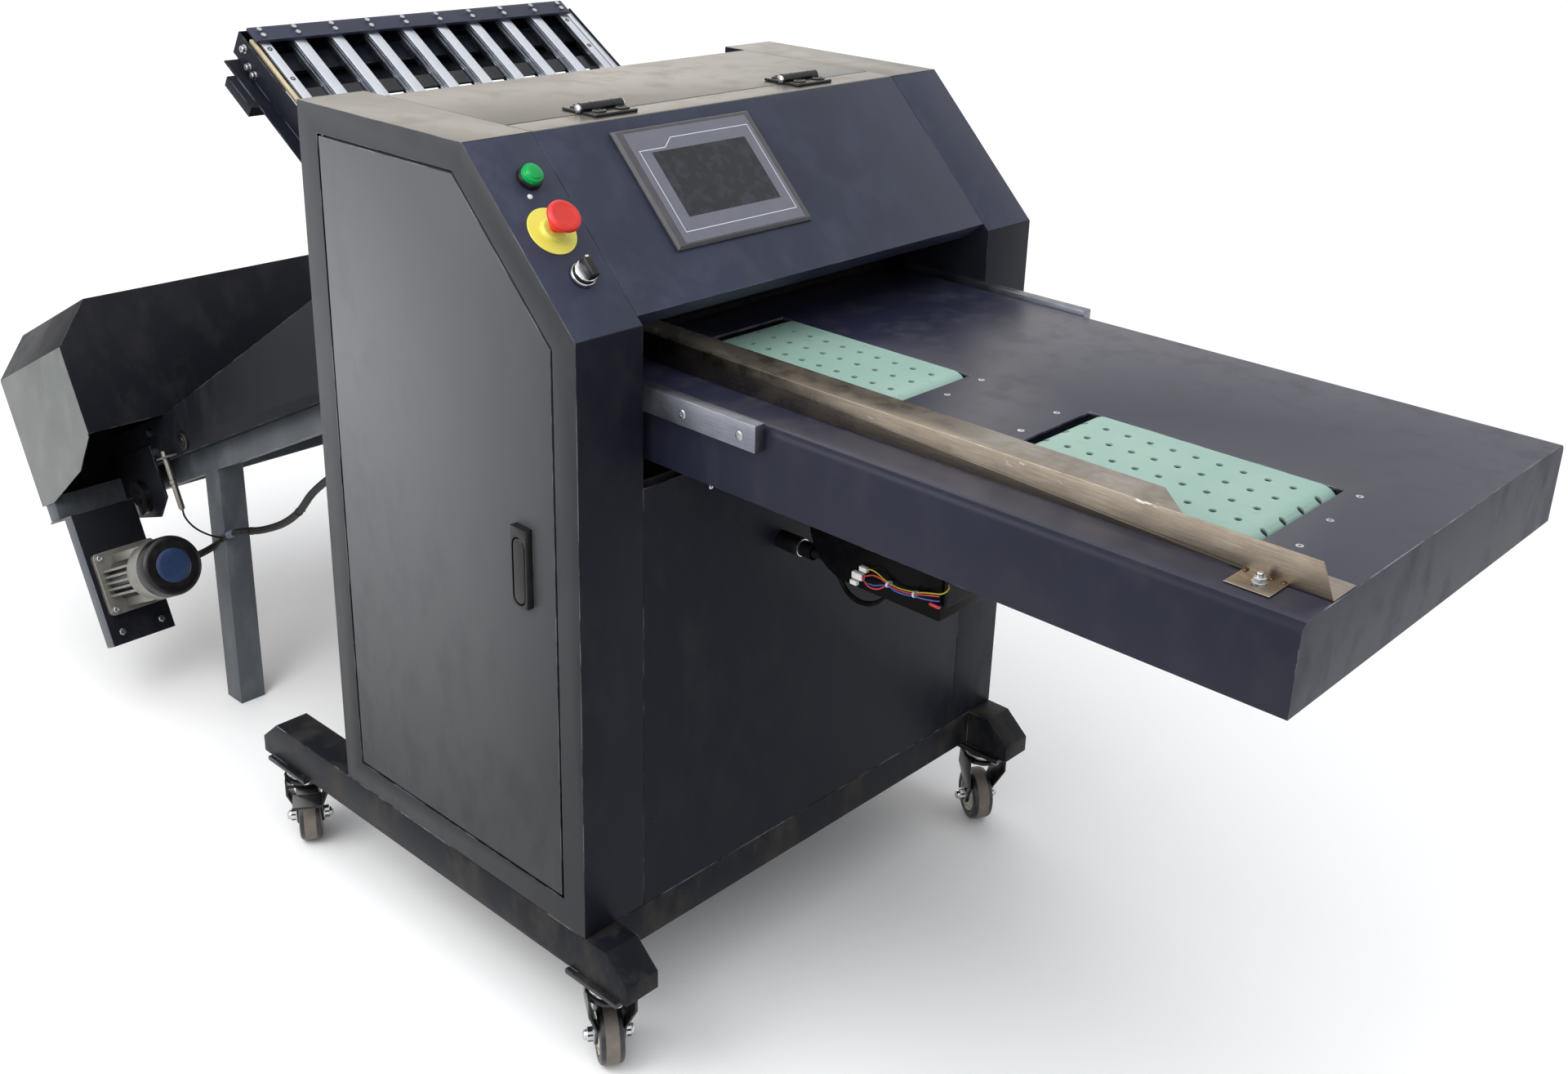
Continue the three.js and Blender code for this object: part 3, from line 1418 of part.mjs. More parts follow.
function deliveryMotor() {
  const mount = bracketPlace - gap;
  const flangeFront = mount - motorFlangeThickness;
  const bodyFront = flangeFront - motorBody;
  const half = motorFlange / 2;
  const flange = box(-half, half, flangeFront, mount, -half, half);
  const body = prismAlong(motorSection(), bodyFront - weld, flangeFront + weld);
  const shaft = turned(disc(motorShaftRadius, mount - weld, mount + motorShaftReach), smallFacets);
  const cap = turned([
    [0, bodyFront - motorCap],
    [motorCapRadius - motorCapRound, bodyFront - motorCap],
    [motorCapRadius, bodyFront - motorCap + motorCapRound],
    [motorCapRadius, bodyFront],
    [0, bodyFront],
  ]);
  const terminal = box(half - motorBoxSize, half, bodyFront, bodyFront + 2 * motorBoxSize,
    -motorBoxSize / 2, motorBoxSize / 2);
  return join(flange, body, shaft, cap, terminal).translate(motorX, 0, motorZ);
}
addPiece(deliveryGroup, 'motor_bracket', motorBracket(), greyPaint());
addPiece(deliveryGroup, 'delivery_motor', deliveryMotor(), aluminium());

const motorTerminal = new THREE.Vector3(motorX + motorFlange / 2 + gap,
  bracketPlace - motorFlangeThickness - motorBody + motorBoxSize, motorZ).applyMatrix4(deliveryGroup.matrix);
const motorCable = [
  motorTerminal.toArray(),
  [-280, motorTerminal.y, motorTerminal.z],
  [-266, 1160, 282],
  [-261, 1138, 308],
  [-259, 1105, 328],
  [-259, 1050, 350],
  [-259, 960, 382],
  [-262, 890, 418],
  [-270, 825, 462],
  [-280, 765, 515],
  [-288, 690, 572],
  [glandX, 620, 616],
  [glandX, 560, 636],
  [glandX, 520, glandHeight],
  [glandX, coverBackY + glandReach + gap, glandHeight],
];
addPiece(machine, 'motor_cable', tube(motorCable, cableRadius, cableSteps), cableBlack());

export default machine;
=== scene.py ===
"""Paper folding machine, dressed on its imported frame.

Metres, +X to the right of the person at the feed table, +Y to the rear, +Z up from the floor.
Places are given in millimetres from the cabinet's front face and mid-plane, as on a shop drawing.
"""

import math

import bmesh
import bpy
from mathutils import Matrix, Vector


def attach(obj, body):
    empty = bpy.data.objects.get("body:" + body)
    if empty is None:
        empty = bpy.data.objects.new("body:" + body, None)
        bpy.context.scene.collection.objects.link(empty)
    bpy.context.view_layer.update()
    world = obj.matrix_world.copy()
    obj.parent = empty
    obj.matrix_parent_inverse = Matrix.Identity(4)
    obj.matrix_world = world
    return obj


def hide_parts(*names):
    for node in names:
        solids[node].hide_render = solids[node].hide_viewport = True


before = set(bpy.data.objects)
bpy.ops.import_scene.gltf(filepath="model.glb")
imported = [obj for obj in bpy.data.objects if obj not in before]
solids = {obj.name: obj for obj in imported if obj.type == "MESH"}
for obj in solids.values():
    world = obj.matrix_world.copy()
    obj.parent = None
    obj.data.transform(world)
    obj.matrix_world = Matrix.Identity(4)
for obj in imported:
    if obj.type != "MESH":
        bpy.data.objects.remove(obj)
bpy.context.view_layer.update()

mm = 0.001
cabinet_front = -380 * mm
quarter = math.radians(90)
link = bpy.context.scene.collection.objects.link

# Faces that the second finishes are told by, and how far from one still counts as on it
side_face, bracket_side, rear_face = 412.5, 409, 467
roof_face, table_face, beam_foot = 1150, 892, 143.5
on_face = 0.3


def spot(x, y, z):
    """A point in metres, from millimetres measured at the cabinet's front face."""
    return Vector((x * mm, y * mm + cabinet_front, z * mm))


def plane(x, y, z, tilt=0.0, yaw=0.0):
    """A working plane at a point: tilted about X, or turned about Z."""
    return (Matrix.Translation(spot(x, y, z)) @ Matrix.Rotation(math.radians(yaw), 4, "Z")
            @ Matrix.Rotation(math.radians(tilt), 4, "X"))


floor_plane = plane(0, 0, 0)
slope_plane = plane(0, 0, 966, tilt=45)
fold_plane = plane(0, 508, 974, tilt=32)
delivery_plane = plane(0, 508, 776, tilt=-26)

# Camera at the photograph's angle
picture_width = 1920
picture_height = 1315
focal_pixels = 2054.91
axis_pixel = (975.04, 548.0)
camera_data = bpy.data.cameras.new("camera")
camera_data.sensor_width = 36
camera_data.lens = focal_pixels * camera_data.sensor_width / picture_width
camera_data.shift_x = (picture_width / 2 - axis_pixel[0]) / picture_width
camera_data.shift_y = (axis_pixel[1] - picture_height / 2) / picture_width
camera_data.clip_start = 0.05
camera_data.clip_end = 60
camera = bpy.data.objects.new("camera", camera_data)
link(camera)
camera.location = spot(-1504.4, -1296.3, 1526.4)
camera.rotation_euler = [math.radians(angle) for angle in (68.2718, -1.8851, -47.3716)]
bpy.context.scene.camera = camera
bpy.context.scene.view_settings.view_transform = "Standard"


# Finishes
def linear(code):
    """Linear colour of an sRGB hex code."""
    parts = [int(code[i:i + 2], 16) / 255 for i in (1, 3, 5)]
    return [p / 12.92 if p <= 0.04045 else ((p + 0.055) / 1.055) ** 2.4 for p in parts] + [1.0]


def add(tree, kind, inputs=None, out=0, **settings):
    """Adds a node with its settings; each input gets a value or another node's output. Gives one output."""
    made = tree.nodes.new("ShaderNode" + kind)
    for key, value in settings.items():
        setattr(made, key, value)
    for key, value in (inputs or {}).items():
        if isinstance(value, bpy.types.NodeSocket):
            tree.links.new(value, made.inputs[key])
        else:
            made.inputs[key].default_value = value
    return made.outputs[out]


def start(name, **fixed):
    """A material with its shader's constants set, and the piece's own coordinates."""
    material = bpy.data.materials.new(name)
    material.use_nodes = True
    tree = material.node_tree
    shader = tree.nodes["Principled BSDF"]
    for key, value in fixed.items():
        shader.inputs[key.replace("_", " ")].default_value = value
    return material, tree, shader, add(tree, "TexCoord", out="Object")


def patches(tree, where, width, low, high, stretch=(1, 1, 1), detail=4):
    """Blotches some width millimetres across: 0 where the cloud is below low, 1 above high."""
    drawn_out = add(tree, "Mapping", {"Vector": where, "Scale": stretch})
    cloud = add(tree, "TexNoise", {"Vector": drawn_out, "Scale": 1 / (width * mm), "Detail": detail,
                                   "Roughness": 0.62})
    return add(tree, "MapRange", {"Value": cloud, "From Min": low, "From Max": high})


def laid(tree, share, most, under, over):
    """A colour with another laid over it, at most to the given part."""
    part = add(tree, "Math", {0: share, 1: most}, operation="MULTIPLY")
    return add(tree, "Mix", {0: part, 6: under, 7: over}, out=2, data_type="RGBA")


def relief(tree, shader, where, width, depth, stretch=(1, 1, 1)):
    """A skin with grains of width and depth in millimetres."""
    drawn_out = add(tree, "Mapping", {"Vector": where, "Scale": stretch})
    grain = add(tree, "TexNoise", {"Vector": drawn_out, "Scale": 1 / (width * mm), "Detail": 2})
    raised = add(tree, "Bump", {"Height": grain, "Strength": 1.0, "Distance": depth * mm})
    tree.links.new(raised, shader.inputs["Normal"])


def rubbed_edges(tree, where, radius, patch):
    """Share of paint rubbed off along the edges, in patches."""
    eased = add(tree, "Bevel", {"Radius": radius * mm}, samples=4)
    flat = add(tree, "NewGeometry", out="Normal")
    match = add(tree, "VectorMath", {0: eased, 1: flat}, out="Value", operation="DOT_PRODUCT")
    edge = add(tree, "MapRange", {"Value": match, "From Min": 0.995, "From Max": 0.92})
    return add(tree, "Math", {0: edge, 1: patches(tree, where, patch, 0.47, 0.6)}, operation="MULTIPLY")


def powder_coat(name, colour, dust, dusty, worn, rough, gloss, painted_sheen=0.0):
    """Polyester powder coat baked on sheet steel: satin with a fine orange peel, dust and hand smears
    that lie on it in soft patches, and edges rubbed pale. The last argument lays a painted reflection on
    it: pale grey round a point on the left side, strongest at the rear above the middle."""
    material, tree, shader, where = start(name, Specular_IOR_Level=gloss)
    cloud = patches(tree, where, 160, 0.3, 0.7)
    smear = patches(tree, where, 45, 0.48, 0.72, (1, 1, 0.5), 5)
    specks = patches(tree, where, 7, 0.72, 0.78)
    # Painted reflection: a pale grey sheen, strongest at a point on the left side above the middle, fading out 620 mm
    # from it
    away = add(tree, "VectorMath", {0: where, 1: spot(-412, 480, 840)}, out="Value", operation="DISTANCE")
    painted_sheen_share = add(tree, "MapRange", {"Value": away, "From Min": 620 * mm, "From Max": 0.0})
    coat = laid(tree, cloud, 0.3, linear(colour), linear("#121318"))
    painted_sheen_coat = laid(tree, painted_sheen_share, painted_sheen, coat, linear("#8f9194"))
    hazed = laid(tree, smear, dusty, painted_sheen_coat, linear(dust))
    flecked = laid(tree, specks, 0.2, hazed, linear("#807e7a"))
    chipped = laid(tree, rubbed_edges(tree, where, 1.4, 55), worn, flecked, linear("#a9adb2"))
    tree.links.new(chipped, shader.inputs["Base Color"])
    tree.links.new(add(tree, "MapRange", {"Value": smear, "To Min": rough, "To Max": rough + 0.14}),
                   shader.inputs["Roughness"])
    # The coat's grain is about 0.6 mm; it is drawn at 1.5 mm so that it shows
    relief(tree, shader, where, 1.5, 0.03)
    return material


def worked_metal(name, colour, dull, rough, brush, line, scratches, depth=0.012):
    """Bare metal with the lines of its rolling or brushing, dull handling marks and bright scratches."""
    material, tree, shader, where = start(name, Metallic=1.0)
    lines = patches(tree, where, line, 0.3, 0.7, brush)
    stains = patches(tree, where, 45, 0.42, 0.7)
    scratch = patches(tree, where, 10, 0.68, 0.71, (1, 0.2, 1), 6)
    tone = laid(tree, lines, 0.6, linear(colour), linear(dull))
    stained = laid(tree, stains, 0.5, tone, linear(dull))
    tree.links.new(laid(tree, scratch, scratches, stained, linear("#e6e4df")), shader.inputs["Base Color"])
    tree.links.new(add(tree, "MapRange", {"Value": stains, "To Min": rough, "To Max": rough + 0.16}),
                   shader.inputs["Roughness"])
    relief(tree, shader, where, line, depth, brush)
    return material


def moulded(name, colour, haze, hazy=0.15, rough=0.45, grain=0.9, depth=0.02, **fixed):
    """Moulded, sprayed or printed skin in one colour, with faint clouds of wear and dust."""
    material, tree, shader, where = start(name, **fixed)
    cloud = patches(tree, where, 18, 0.42, 0.75)
    tree.links.new(laid(tree, cloud, hazy, linear(colour), linear(haze)), shader.inputs["Base Color"])
    tree.links.new(add(tree, "MapRange", {"Value": cloud, "To Min": rough, "To Max": rough + 0.12}),
                   shader.inputs["Roughness"])
    relief(tree, shader, where, grain, depth)
    return material


def coated_belt(name, colour, pale, rub, rubbed):
    """Polyurethane coated fabric: a matt green with the cloth's weave showing through, and rubbed
    yellowish lines along its run."""
    material, tree, shader, where = start(name, Roughness=0.5)
    cloud = patches(tree, where, 70, 0.3, 0.75)
    lines = patches(tree, where, 6, 0.62, 0.7, (1, 0.1, 1))
    spread = patches(tree, where, 70, 0.5, 0.62)
    worn = add(tree, "Math", {0: lines, 1: spread}, operation="MULTIPLY")
    tone = laid(tree, cloud, 0.5, linear(colour), linear(pale))
    tree.links.new(laid(tree, worn, rubbed, tone, linear(rub)), shader.inputs["Base Color"])
    # Threads lie 0.8 mm apart; they are drawn at 1.6 mm so that they show
    threads = add(tree, "TexChecker", {"Vector": where, "Scale": 1 / (1.6 * mm)}, out="Fac")
    woven = add(tree, "Bump", {"Height": threads, "Strength": 0.6, "Distance": 0.03 * mm})
    tree.links.new(woven, shader.inputs["Normal"])
    return material


def touch_film():
    """Dark resistive touch screen: a satin film over black glass, with dull finger marks."""
    material, tree, shader, where = start("touch_screen_film", Specular_IOR_Level=0.3)
    marks = patches(tree, where, 14, 0.46, 0.86, detail=1)
    ridges = patches(tree, where, 1.5, 0.1, 0.6)
    prints = add(tree, "Math", {0: marks, 1: ridges}, operation="MULTIPLY")
    tree.links.new(laid(tree, prints, 0.1, linear("#1f2026"), linear("#8496a6")), shader.inputs["Base Color"])
    tree.links.new(add(tree, "MapRange", {"Value": marks, "To Min": 0.22, "To Max": 0.45}),
                   shader.inputs["Roughness"])
    relief(tree, shader, where, 0.8, 0.004)
    return material


navy_coat = powder_coat("powder_coat_navy", "#141620", "#4c4a47", 0.1, 0.4, 0.44, 0.1)
# Painted light: a lighter copy of the navy coat for faces that look up the slope to the sky
lit_slope_coat = powder_coat("powder_coat_slope_lit", "#2b2f42", "#565b6c", 0.2, 0.2, 0.44, 0.28)
# Painted reflection: a pale beige-grey copy of the navy coat for the roof faces, standing in for the sky's glare on
# them
glare_top_coat = powder_coat("powder_coat_top_glare", "#4b4842", "#8f8878", 0.2, 0.15, 0.34, 0.6)
table_coat = powder_coat("powder_coat_table", "#23263a", "#5d5a56", 0.15, 0.85, 0.36, 0.42)
# Painted shade: a darker, duller copy of the table coat for the tray's sides
shaded_table_side_coat = powder_coat("powder_coat_table_sides_shaded", "#1f2130", "#55504d", 0.1, 0.85, 0.42, 0.15)
beam_coat = powder_coat("powder_coat_beams", "#14161c", "#6a6356", 0.2, 0.9, 0.46, 0.12)
# Door and left face: grey coats with a painted reflection laid on them, strongest on the door
door_coat = powder_coat("powder_coat_door_painted_sheen", "#181a1e", "#55565a", 0.1, 0.5, 0.42, 0.2, painted_sheen=0.42)
side_coat = powder_coat("powder_coat_left_side_painted_sheen", "#181a1e", "#55565a", 0.1, 0.5, 0.42, 0.2, painted_sheen=0.16)
delivery_coat = powder_coat("powder_coat_delivery", "#121319", "#4c4b4a", 0.1, 0.4, 0.44, 0.1)
# Painted light: a lighter grey copy of the dark delivery coat for the frame's tubes and brackets, standing in for the
# light on them
lit_tube_coat = powder_coat("powder_coat_tubes_lit", "#4b5056", "#86888a", 0.25, 0.6, 0.44, 0.35)
# Painted light: a light grey copy of the dark delivery coat for the cover's lit sides
lit_cover_side_coat = powder_coat("powder_coat_cover_sides_lit", "#6d716e", "#9a9b94", 0.3, 0.5, 0.44, 0.35)
stainless = worked_metal("stainless_sheet", "#a39889", "#6a6056", 0.26, (1, 0.04, 1), 1.6, 0.5)
aluminium_profile = worked_metal("extruded_aluminium", "#dde1e8", "#b3bac6", 0.28, (1, 0.03, 0.03), 1.2, 0.2, 0.004)
aluminium_bar = worked_metal("milled_aluminium", "#8a8d96", "#60636c", 0.34, (1, 0.03, 1), 1.0, 0.4)
aluminium_cast = worked_metal("die_cast_aluminium", "#9b9a95", "#6f6d67", 0.45, (1, 1, 1), 2.0, 0.15, 0.05)
zinc = worked_metal("zinc_plated_steel", "#d6d8da", "#9b9ea3", 0.24, (1, 1, 1), 1.5, 0.3)
steel_ground = worked_metal("ground_steel", "#b7b9bb", "#8f9194", 0.27, (0.04, 1, 1), 1.0, 0.2)
brass = worked_metal("nickel_plated_brass", "#8e8a83", "#615c54", 0.3, (1, 1, 1), 1.5, 0.2)
chrome = worked_metal("chrome_plated_brass", "#e4e5e8", "#c9cacd", 0.1, (1, 1, 1), 3.0, 0.1, 0.0)
weld_tint = worked_metal("heat_tinted_weld", "#7a6450", "#4b3d33", 0.4, (1, 1, 1), 1.5, 0.2)
black_enamel = moulded("black_e_coat", "#0d0e11", "#4b4844", 0.12, 0.28, Specular_IOR_Level=0.4)
black_abs = moulded("black_abs", "#0d0d0f", "#454547", 0.1, 0.34, Specular_IOR_Level=0.35)
black_polyamide = moulded("black_polyamide", "#0e0f12", "#33312f", 0.08, 0.5, Specular_IOR_Level=0.12)
blower_shell = moulded("black_glossy_abs", "#08080a", "#2c2824", 0.06, 0.24, 2.0, 0.004, Specular_IOR_Level=0.04)
bezel_abs = moulded("dark_grey_abs", "#3f3e43", "#6d6a66", 0.2, 0.42)
face_foil = moulded("grey_polyester_foil", "#62636e", "#7d7e87", 0.2, 0.4, 0.8, 0.01)
white_ink = moulded("white_screen_print", "#d3d6dc", "#aeb1b7", 0.3, 0.5, 0.8, 0.0)
green_lens = moulded("green_polycarbonate", "#009548", "#35b877", 0.08, 0.16, 3.0, 0.01, Specular_IOR_Level=0.3)
red_head = moulded("red_polyamide", "#c9261e", "#de4a3e", 0.2, 0.38)
yellow_disc = moulded("yellow_abs", "#dfd858", "#efeb9a", 0.2, 0.42)
yellow_neck = moulded("pale_yellow_abs", "#d2cb5c", "#b5ae4c", 0.3, 0.3)
tread_rubber = moulded("grey_brown_tread", "#6a625b", "#8b8279", 0.5, 0.75, 1.4, 0.06)
shoulder_rubber = moulded("black_polyurethane", "#141418", "#7d7670", 0.25, 0.38)
hub_nylon = moulded("pale_nylon", "#b9b5a6", "#77736a", 0.35, 0.5)
roller_rubber = moulded("black_nitrile_rubber", "#1b1b1d", "#4b4845", 0.2, 0.62)
cable_jacket = moulded("black_pvc_jacket", "#08080a", "#33312f", 0.15, 0.42, Specular_IOR_Level=0.2)
beige_strip = moulded("beige_phenolic_strip", "#c4b595", "#86795f", 0.35, 0.6)
cap_disc = moulded("blue_cap_disc", "#15294b", "#3a4d70", 0.25, 0.5)
white_nylon = moulded("white_nylon", "#d2d3cf", "#9c9d99", 0.3, 0.42)
red_wire = moulded("red_wire_pvc", "#b5202a", "#e06a6a", 0.2, 0.4)
blue_wire = moulded("blue_wire_pvc", "#2a4fa3", "#6d8cc9", 0.2, 0.4)
yellow_wire = moulded("yellow_wire_pvc", "#a99a24", "#d8cd6c", 0.2, 0.4)
cable_tape = moulded("grey_blue_vinyl_tape", "#4b5566", "#7a8290", 0.3, 0.45)
suction_belt = coated_belt("green_polyurethane_belt", "#88a99d", "#9fb9ae", "#7d7344", 0.75)
carrier_cover = coated_belt("green_carrier_belt", "#3f5c50", "#56766a", "#77735a", 0.3)


# Shop tools: each leaves one finished piece whose place is in its mesh
sharp_angle = math.radians(30)
smooth_angle = math.radians(35)
flat_angle = math.radians(0.5)
merge_gap = 0.02 * mm


def alone(piece):
    """Selects one piece and nothing else."""
    bpy.ops.object.select_all(action="DESELECT")
    piece.select_set(True)
    bpy.context.view_layer.objects.active = piece


def take(name):
    """Names the piece that a tool has just made."""
    piece = bpy.context.view_layer.objects.active
    piece.name = piece.data.name = name
    return piece


def settle(piece, place):
    """Moves a piece drawn on a working plane to its place, and puts the place into its mesh."""
    piece.matrix_world = place
    alone(piece)
    bpy.ops.object.transform_apply(location=True, rotation=True, scale=True)
    return piece


def ease(piece, radius, steps=2, test=lambda middle, edge: True):
    """Rounds the sharp outer edges that pass a test of their middle, and shades the curves smooth."""
    alone(piece)
    bpy.ops.object.mode_set(mode="EDIT")
    bpy.ops.mesh.select_mode(type="EDGE")
    bpy.ops.mesh.select_all(action="DESELECT")
    found = 0
    for edge in bmesh.from_edit_mesh(piece.data).edges:
        if len(edge.link_faces) != 2 or not edge.is_convex or edge.calc_face_angle(0) < sharp_angle:
            continue
        if test((edge.verts[0].co + edge.verts[1].co) / 2, edge):
            edge.select_set(True)
            found += 1
    bmesh.update_edit_mesh(piece.data)
    if found:
        bpy.ops.mesh.bevel(offset=radius * mm, segments=steps, affect="EDGES", clamp_overlap=True)
    bpy.ops.object.mode_set(mode="OBJECT")
    bpy.ops.object.shade_smooth_by_angle(angle=smooth_angle)
    return piece


def block(name, low, high, radius=0.0, steps=2):
    """A plate or bar between two corners in millimetres, with its edges eased."""
    low, high = Vector(low) * mm, Vector(high) * mm
    bpy.ops.object.select_all(action="DESELECT")
    bpy.ops.mesh.primitive_cube_add(size=1, location=(low + high) / 2)
    piece = take(name)
    piece.scale = high - low
    bpy.ops.object.transform_apply(location=True, rotation=True, scale=True)
    return ease(piece, radius, steps) if radius else piece


def lathe(name, outline, centre=(0, 0, 0), axis="Z", sides=32):
    """A turned piece: its outline is (radius, height) pairs along the axis, in millimetres."""
    radius, height = outline[0]
    bpy.ops.object.select_all(action="DESELECT")
    bpy.ops.mesh.primitive_circle_add(vertices=sides, radius=radius * mm, fill_type="NGON",
                                      location=(0, 0, height * mm))
    piece = take(name)
    bpy.ops.object.transform_apply(location=True, rotation=True, scale=True)
    bpy.ops.object.mode_set(mode="EDIT")
    bpy.ops.mesh.select_all(action="SELECT")
    for next_radius, next_height in outline[1:]:
        bpy.ops.mesh.extrude_region_move(
            TRANSFORM_OT_translate={"value": (0, 0, (next_height - height) * mm)})
        share = next_radius / radius
        bpy.ops.transform.resize(value=(share, share, 1))
        radius, height = next_radius, next_height
    bpy.ops.mesh.select_all(action="SELECT")
    bpy.ops.mesh.normals_make_consistent(inside=False)
    bpy.ops.object.mode_set(mode="OBJECT")
    bpy.ops.object.shade_smooth_by_angle(angle=smooth_angle)
    turn = {"X": Matrix.Rotation(quarter, 4, "Y"), "Y": Matrix.Rotation(-quarter, 4, "X"),
            "Z": Matrix.Identity(4)}[axis]
    return settle(piece, Matrix.Translation(Vector(centre) * mm) @ turn)


def cut_plate(name, outline, low, high, across="Z"):
    """A plate sawn to an outline of (first, second) millimetres, from low to high through it."""
    order = {"Z": lambda a, b, c: (a, b, c), "X": lambda a, b, c: (c, a, b), "Y": lambda a, b, c: (a, c, b)}[across]
    bpy.ops.object.select_all(action="DESELECT")
    bpy.ops.mesh.primitive_circle_add(vertices=len(outline), radius=mm, fill_type="NGON", location=(0, 0, 0))
    piece = take(name)
    for vertex, (first, second) in zip(piece.data.vertices, outline):
        vertex.co = Vector(order(first, second, low)) * mm
    bpy.ops.object.mode_set(mode="EDIT")
    bpy.ops.mesh.select_all(action="SELECT")
    bpy.ops.mesh.extrude_region_move(
        TRANSFORM_OT_translate={"value": tuple(Vector(order(0, 0, high - low)) * mm)})
    bpy.ops.mesh.select_all(action="SELECT")
    bpy.ops.mesh.normals_make_consistent(inside=False)
    bpy.ops.object.mode_set(mode="OBJECT")
    return piece


def longer(length):
    """A test that keeps the edges longer than a length in millimetres."""
    return lambda middle, edge: edge.calc_length() > length * mm


def joined(name, pieces):
    """Joins pieces of one finish into one."""
    bpy.ops.object.select_all(action="DESELECT")
    for piece in pieces:
        piece.select_set(True)
    bpy.context.view_layer.objects.active = pieces[0]
    bpy.ops.object.join()
    return take(name)


def copied(piece, name, move):
    """A copy with its own mesh, moved by millimetres or by a matrix."""
    twin = piece.copy()
    twin.data = piece.data.copy()
    twin.name = twin.data.name = name
    link(twin)
    twin.data.transform(move if isinstance(move, Matrix) else Matrix.Translation(Vector(move) * mm))
    return twin


def repeated(name, pattern, places):
    """Copies of one shape at several places, joined into one piece; the pattern goes."""
    twins = [copied(pattern, "twin", place) for place in places]
    bpy.data.objects.remove(pattern)
    return joined(name, twins)


def drill(piece, cutters):
    """Cuts a joined set of cutters out of a piece."""
    cut = piece.modifiers.new("drill", "BOOLEAN")
    cut.object = cutters
    cut.solver = "EXACT"
    alone(piece)
    bpy.ops.object.modifier_apply(modifier=cut.name)
    bpy.data.objects.remove(cutters)
    return piece


def solid_copy(node, name):
    """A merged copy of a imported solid, to be rounded and shown in its place."""
    piece = bpy.data.objects.new(name, solids[node].data.copy())
    link(piece)
    alone(piece)
    bpy.ops.object.mode_set(mode="EDIT")
    bpy.ops.mesh.select_all(action="SELECT")
    bpy.ops.mesh.remove_doubles(threshold=merge_gap)
    bpy.ops.mesh.customdata_custom_splitnormals_clear()
    bpy.ops.mesh.dissolve_limited(angle_limit=flat_angle)
    bpy.ops.object.mode_set(mode="OBJECT")
    return piece


def dress(piece, finish, slot, *nodes, body="machine"):
    """Gives a piece its finish and its place in the machine."""
    piece.data.materials.clear()
    piece.data.materials.append(finish)
    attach(piece, body)
    if nodes:
        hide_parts(*nodes)
    return piece


def fit(piece, place, finish, slot, *nodes, body="machine"):
    """Sets a piece on its working plane and dresses it."""
    return dress(settle(piece, place), finish, slot, *nodes, body=body)


def rounded(node, name, radius, shortest, finish, slot="dark_powder_coat", body="machine"):
    """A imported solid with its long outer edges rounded, dressed to stand in for it."""
    return dress(ease(solid_copy(node, name), radius, 2, longer(shortest)), finish, slot, node, body=body)


def outward(sign, start, outline):
    """An outline whose heights run outward from a start, to the left or to the right."""
    return [(radius, sign * (start + height)) for radius, height in outline]


def touch_up(piece, finish, test, place=floor_plane):
    """Gives a second finish to the faces whose middle, in millimetres on a plane, passes a test."""
    piece.data.materials.append(finish)
    back = place.inverted()
    for face in piece.data.polygons:
        if test(*(back @ face.center / mm)):
            face.material_index = len(piece.data.materials) - 1


# Cords
def smooth_route(points, steps=4):
    """Centripetal curve through the route's points, as the solid cable follows it."""
    ends = [2 * points[0] - points[1], *points, 2 * points[-1] - points[-2]]
    route = []
    for a, b, c, d in zip(ends, ends[1:], ends[2:], ends[3:]):
        t1 = (b - a).length ** 0.5
        t2 = t1 + (c - b).length ** 0.5
        t3 = t2 + (d - c).length ** 0.5
        for step in range(steps):
            t = t1 + (t2 - t1) * step / steps
            ab = a.lerp(b, t / t1)
            bc = b.lerp(c, (t - t1) / (t2 - t1))
            cd = c.lerp(d, (t - t2) / (t3 - t2))
            abc = ab.lerp(bc, t / t2)
            bcd = bc.lerp(cd, (t - t1) / (t3 - t1))
            route.append(abc.lerp(bcd, (t - t1) / (t2 - t1)))
    return [*route, points[-1]]


def cord(name, points, diameter, finish, stiffness, *nodes, far_end="object", with_pieces=()):
    """A cable drawn as one smooth curve through its route, in millimetres."""
    line = bpy.data.curves.new(name, "CURVE")
    line.dimensions = "3D"
    line.bevel_depth = diameter * mm / 2
    line.bevel_resolution = 4
    line.use_fill_caps = True
    route = smooth_route([spot(*point) for point in points])
    path = line.splines.new("POLY")
    path.points.add(len(route) - 1)
    for point, place in zip(path.points, route):
        point.co = (*place, 1)
    piece = bpy.data.objects.new(name, line)
    link(piece)
    dress(piece, finish, "cable_jacket", *nodes)


motor_cable_route = [
    (-295.9, 1167.8, 267.3), (-278.8, 1165.3, 269.4), (-263.8, 1158.6, 275.3), (-252.6, 1148.2, 284.2),
    (-247, 1135.5, 295.1), (-245.9, 1121, 306.5), (-247, 1098, 322.5), (-250.5, 1060, 342.5), (-255, 1010, 363),
    (-259, 960, 383), (-262, 890, 418), (-270, 825, 462), (-280, 765, 515), (-287, 690, 569), (-290, 630, 605),
    (-290, 580, 627), (-290, 535, 638), (-290, 490.3, 640)]
blower_lead_route = [
    (-82, -58.3, 636), (-82, -76, 636), (-86, -100, 624), (-96, -128, 610), (-106, -158, 612), (-113, -188, 626),
    (-116, -206, 645), (-116, -212, 656), (-116, -212, 666.7)]
sensor_lead_route = [
    (-250, 1112, 315.5), (-259, 1114, 319), (-274, 1119, 328), (-290, 1126, 343), (-300, 1132.8, 362.2),
    (-300, 1138.1, 373)]
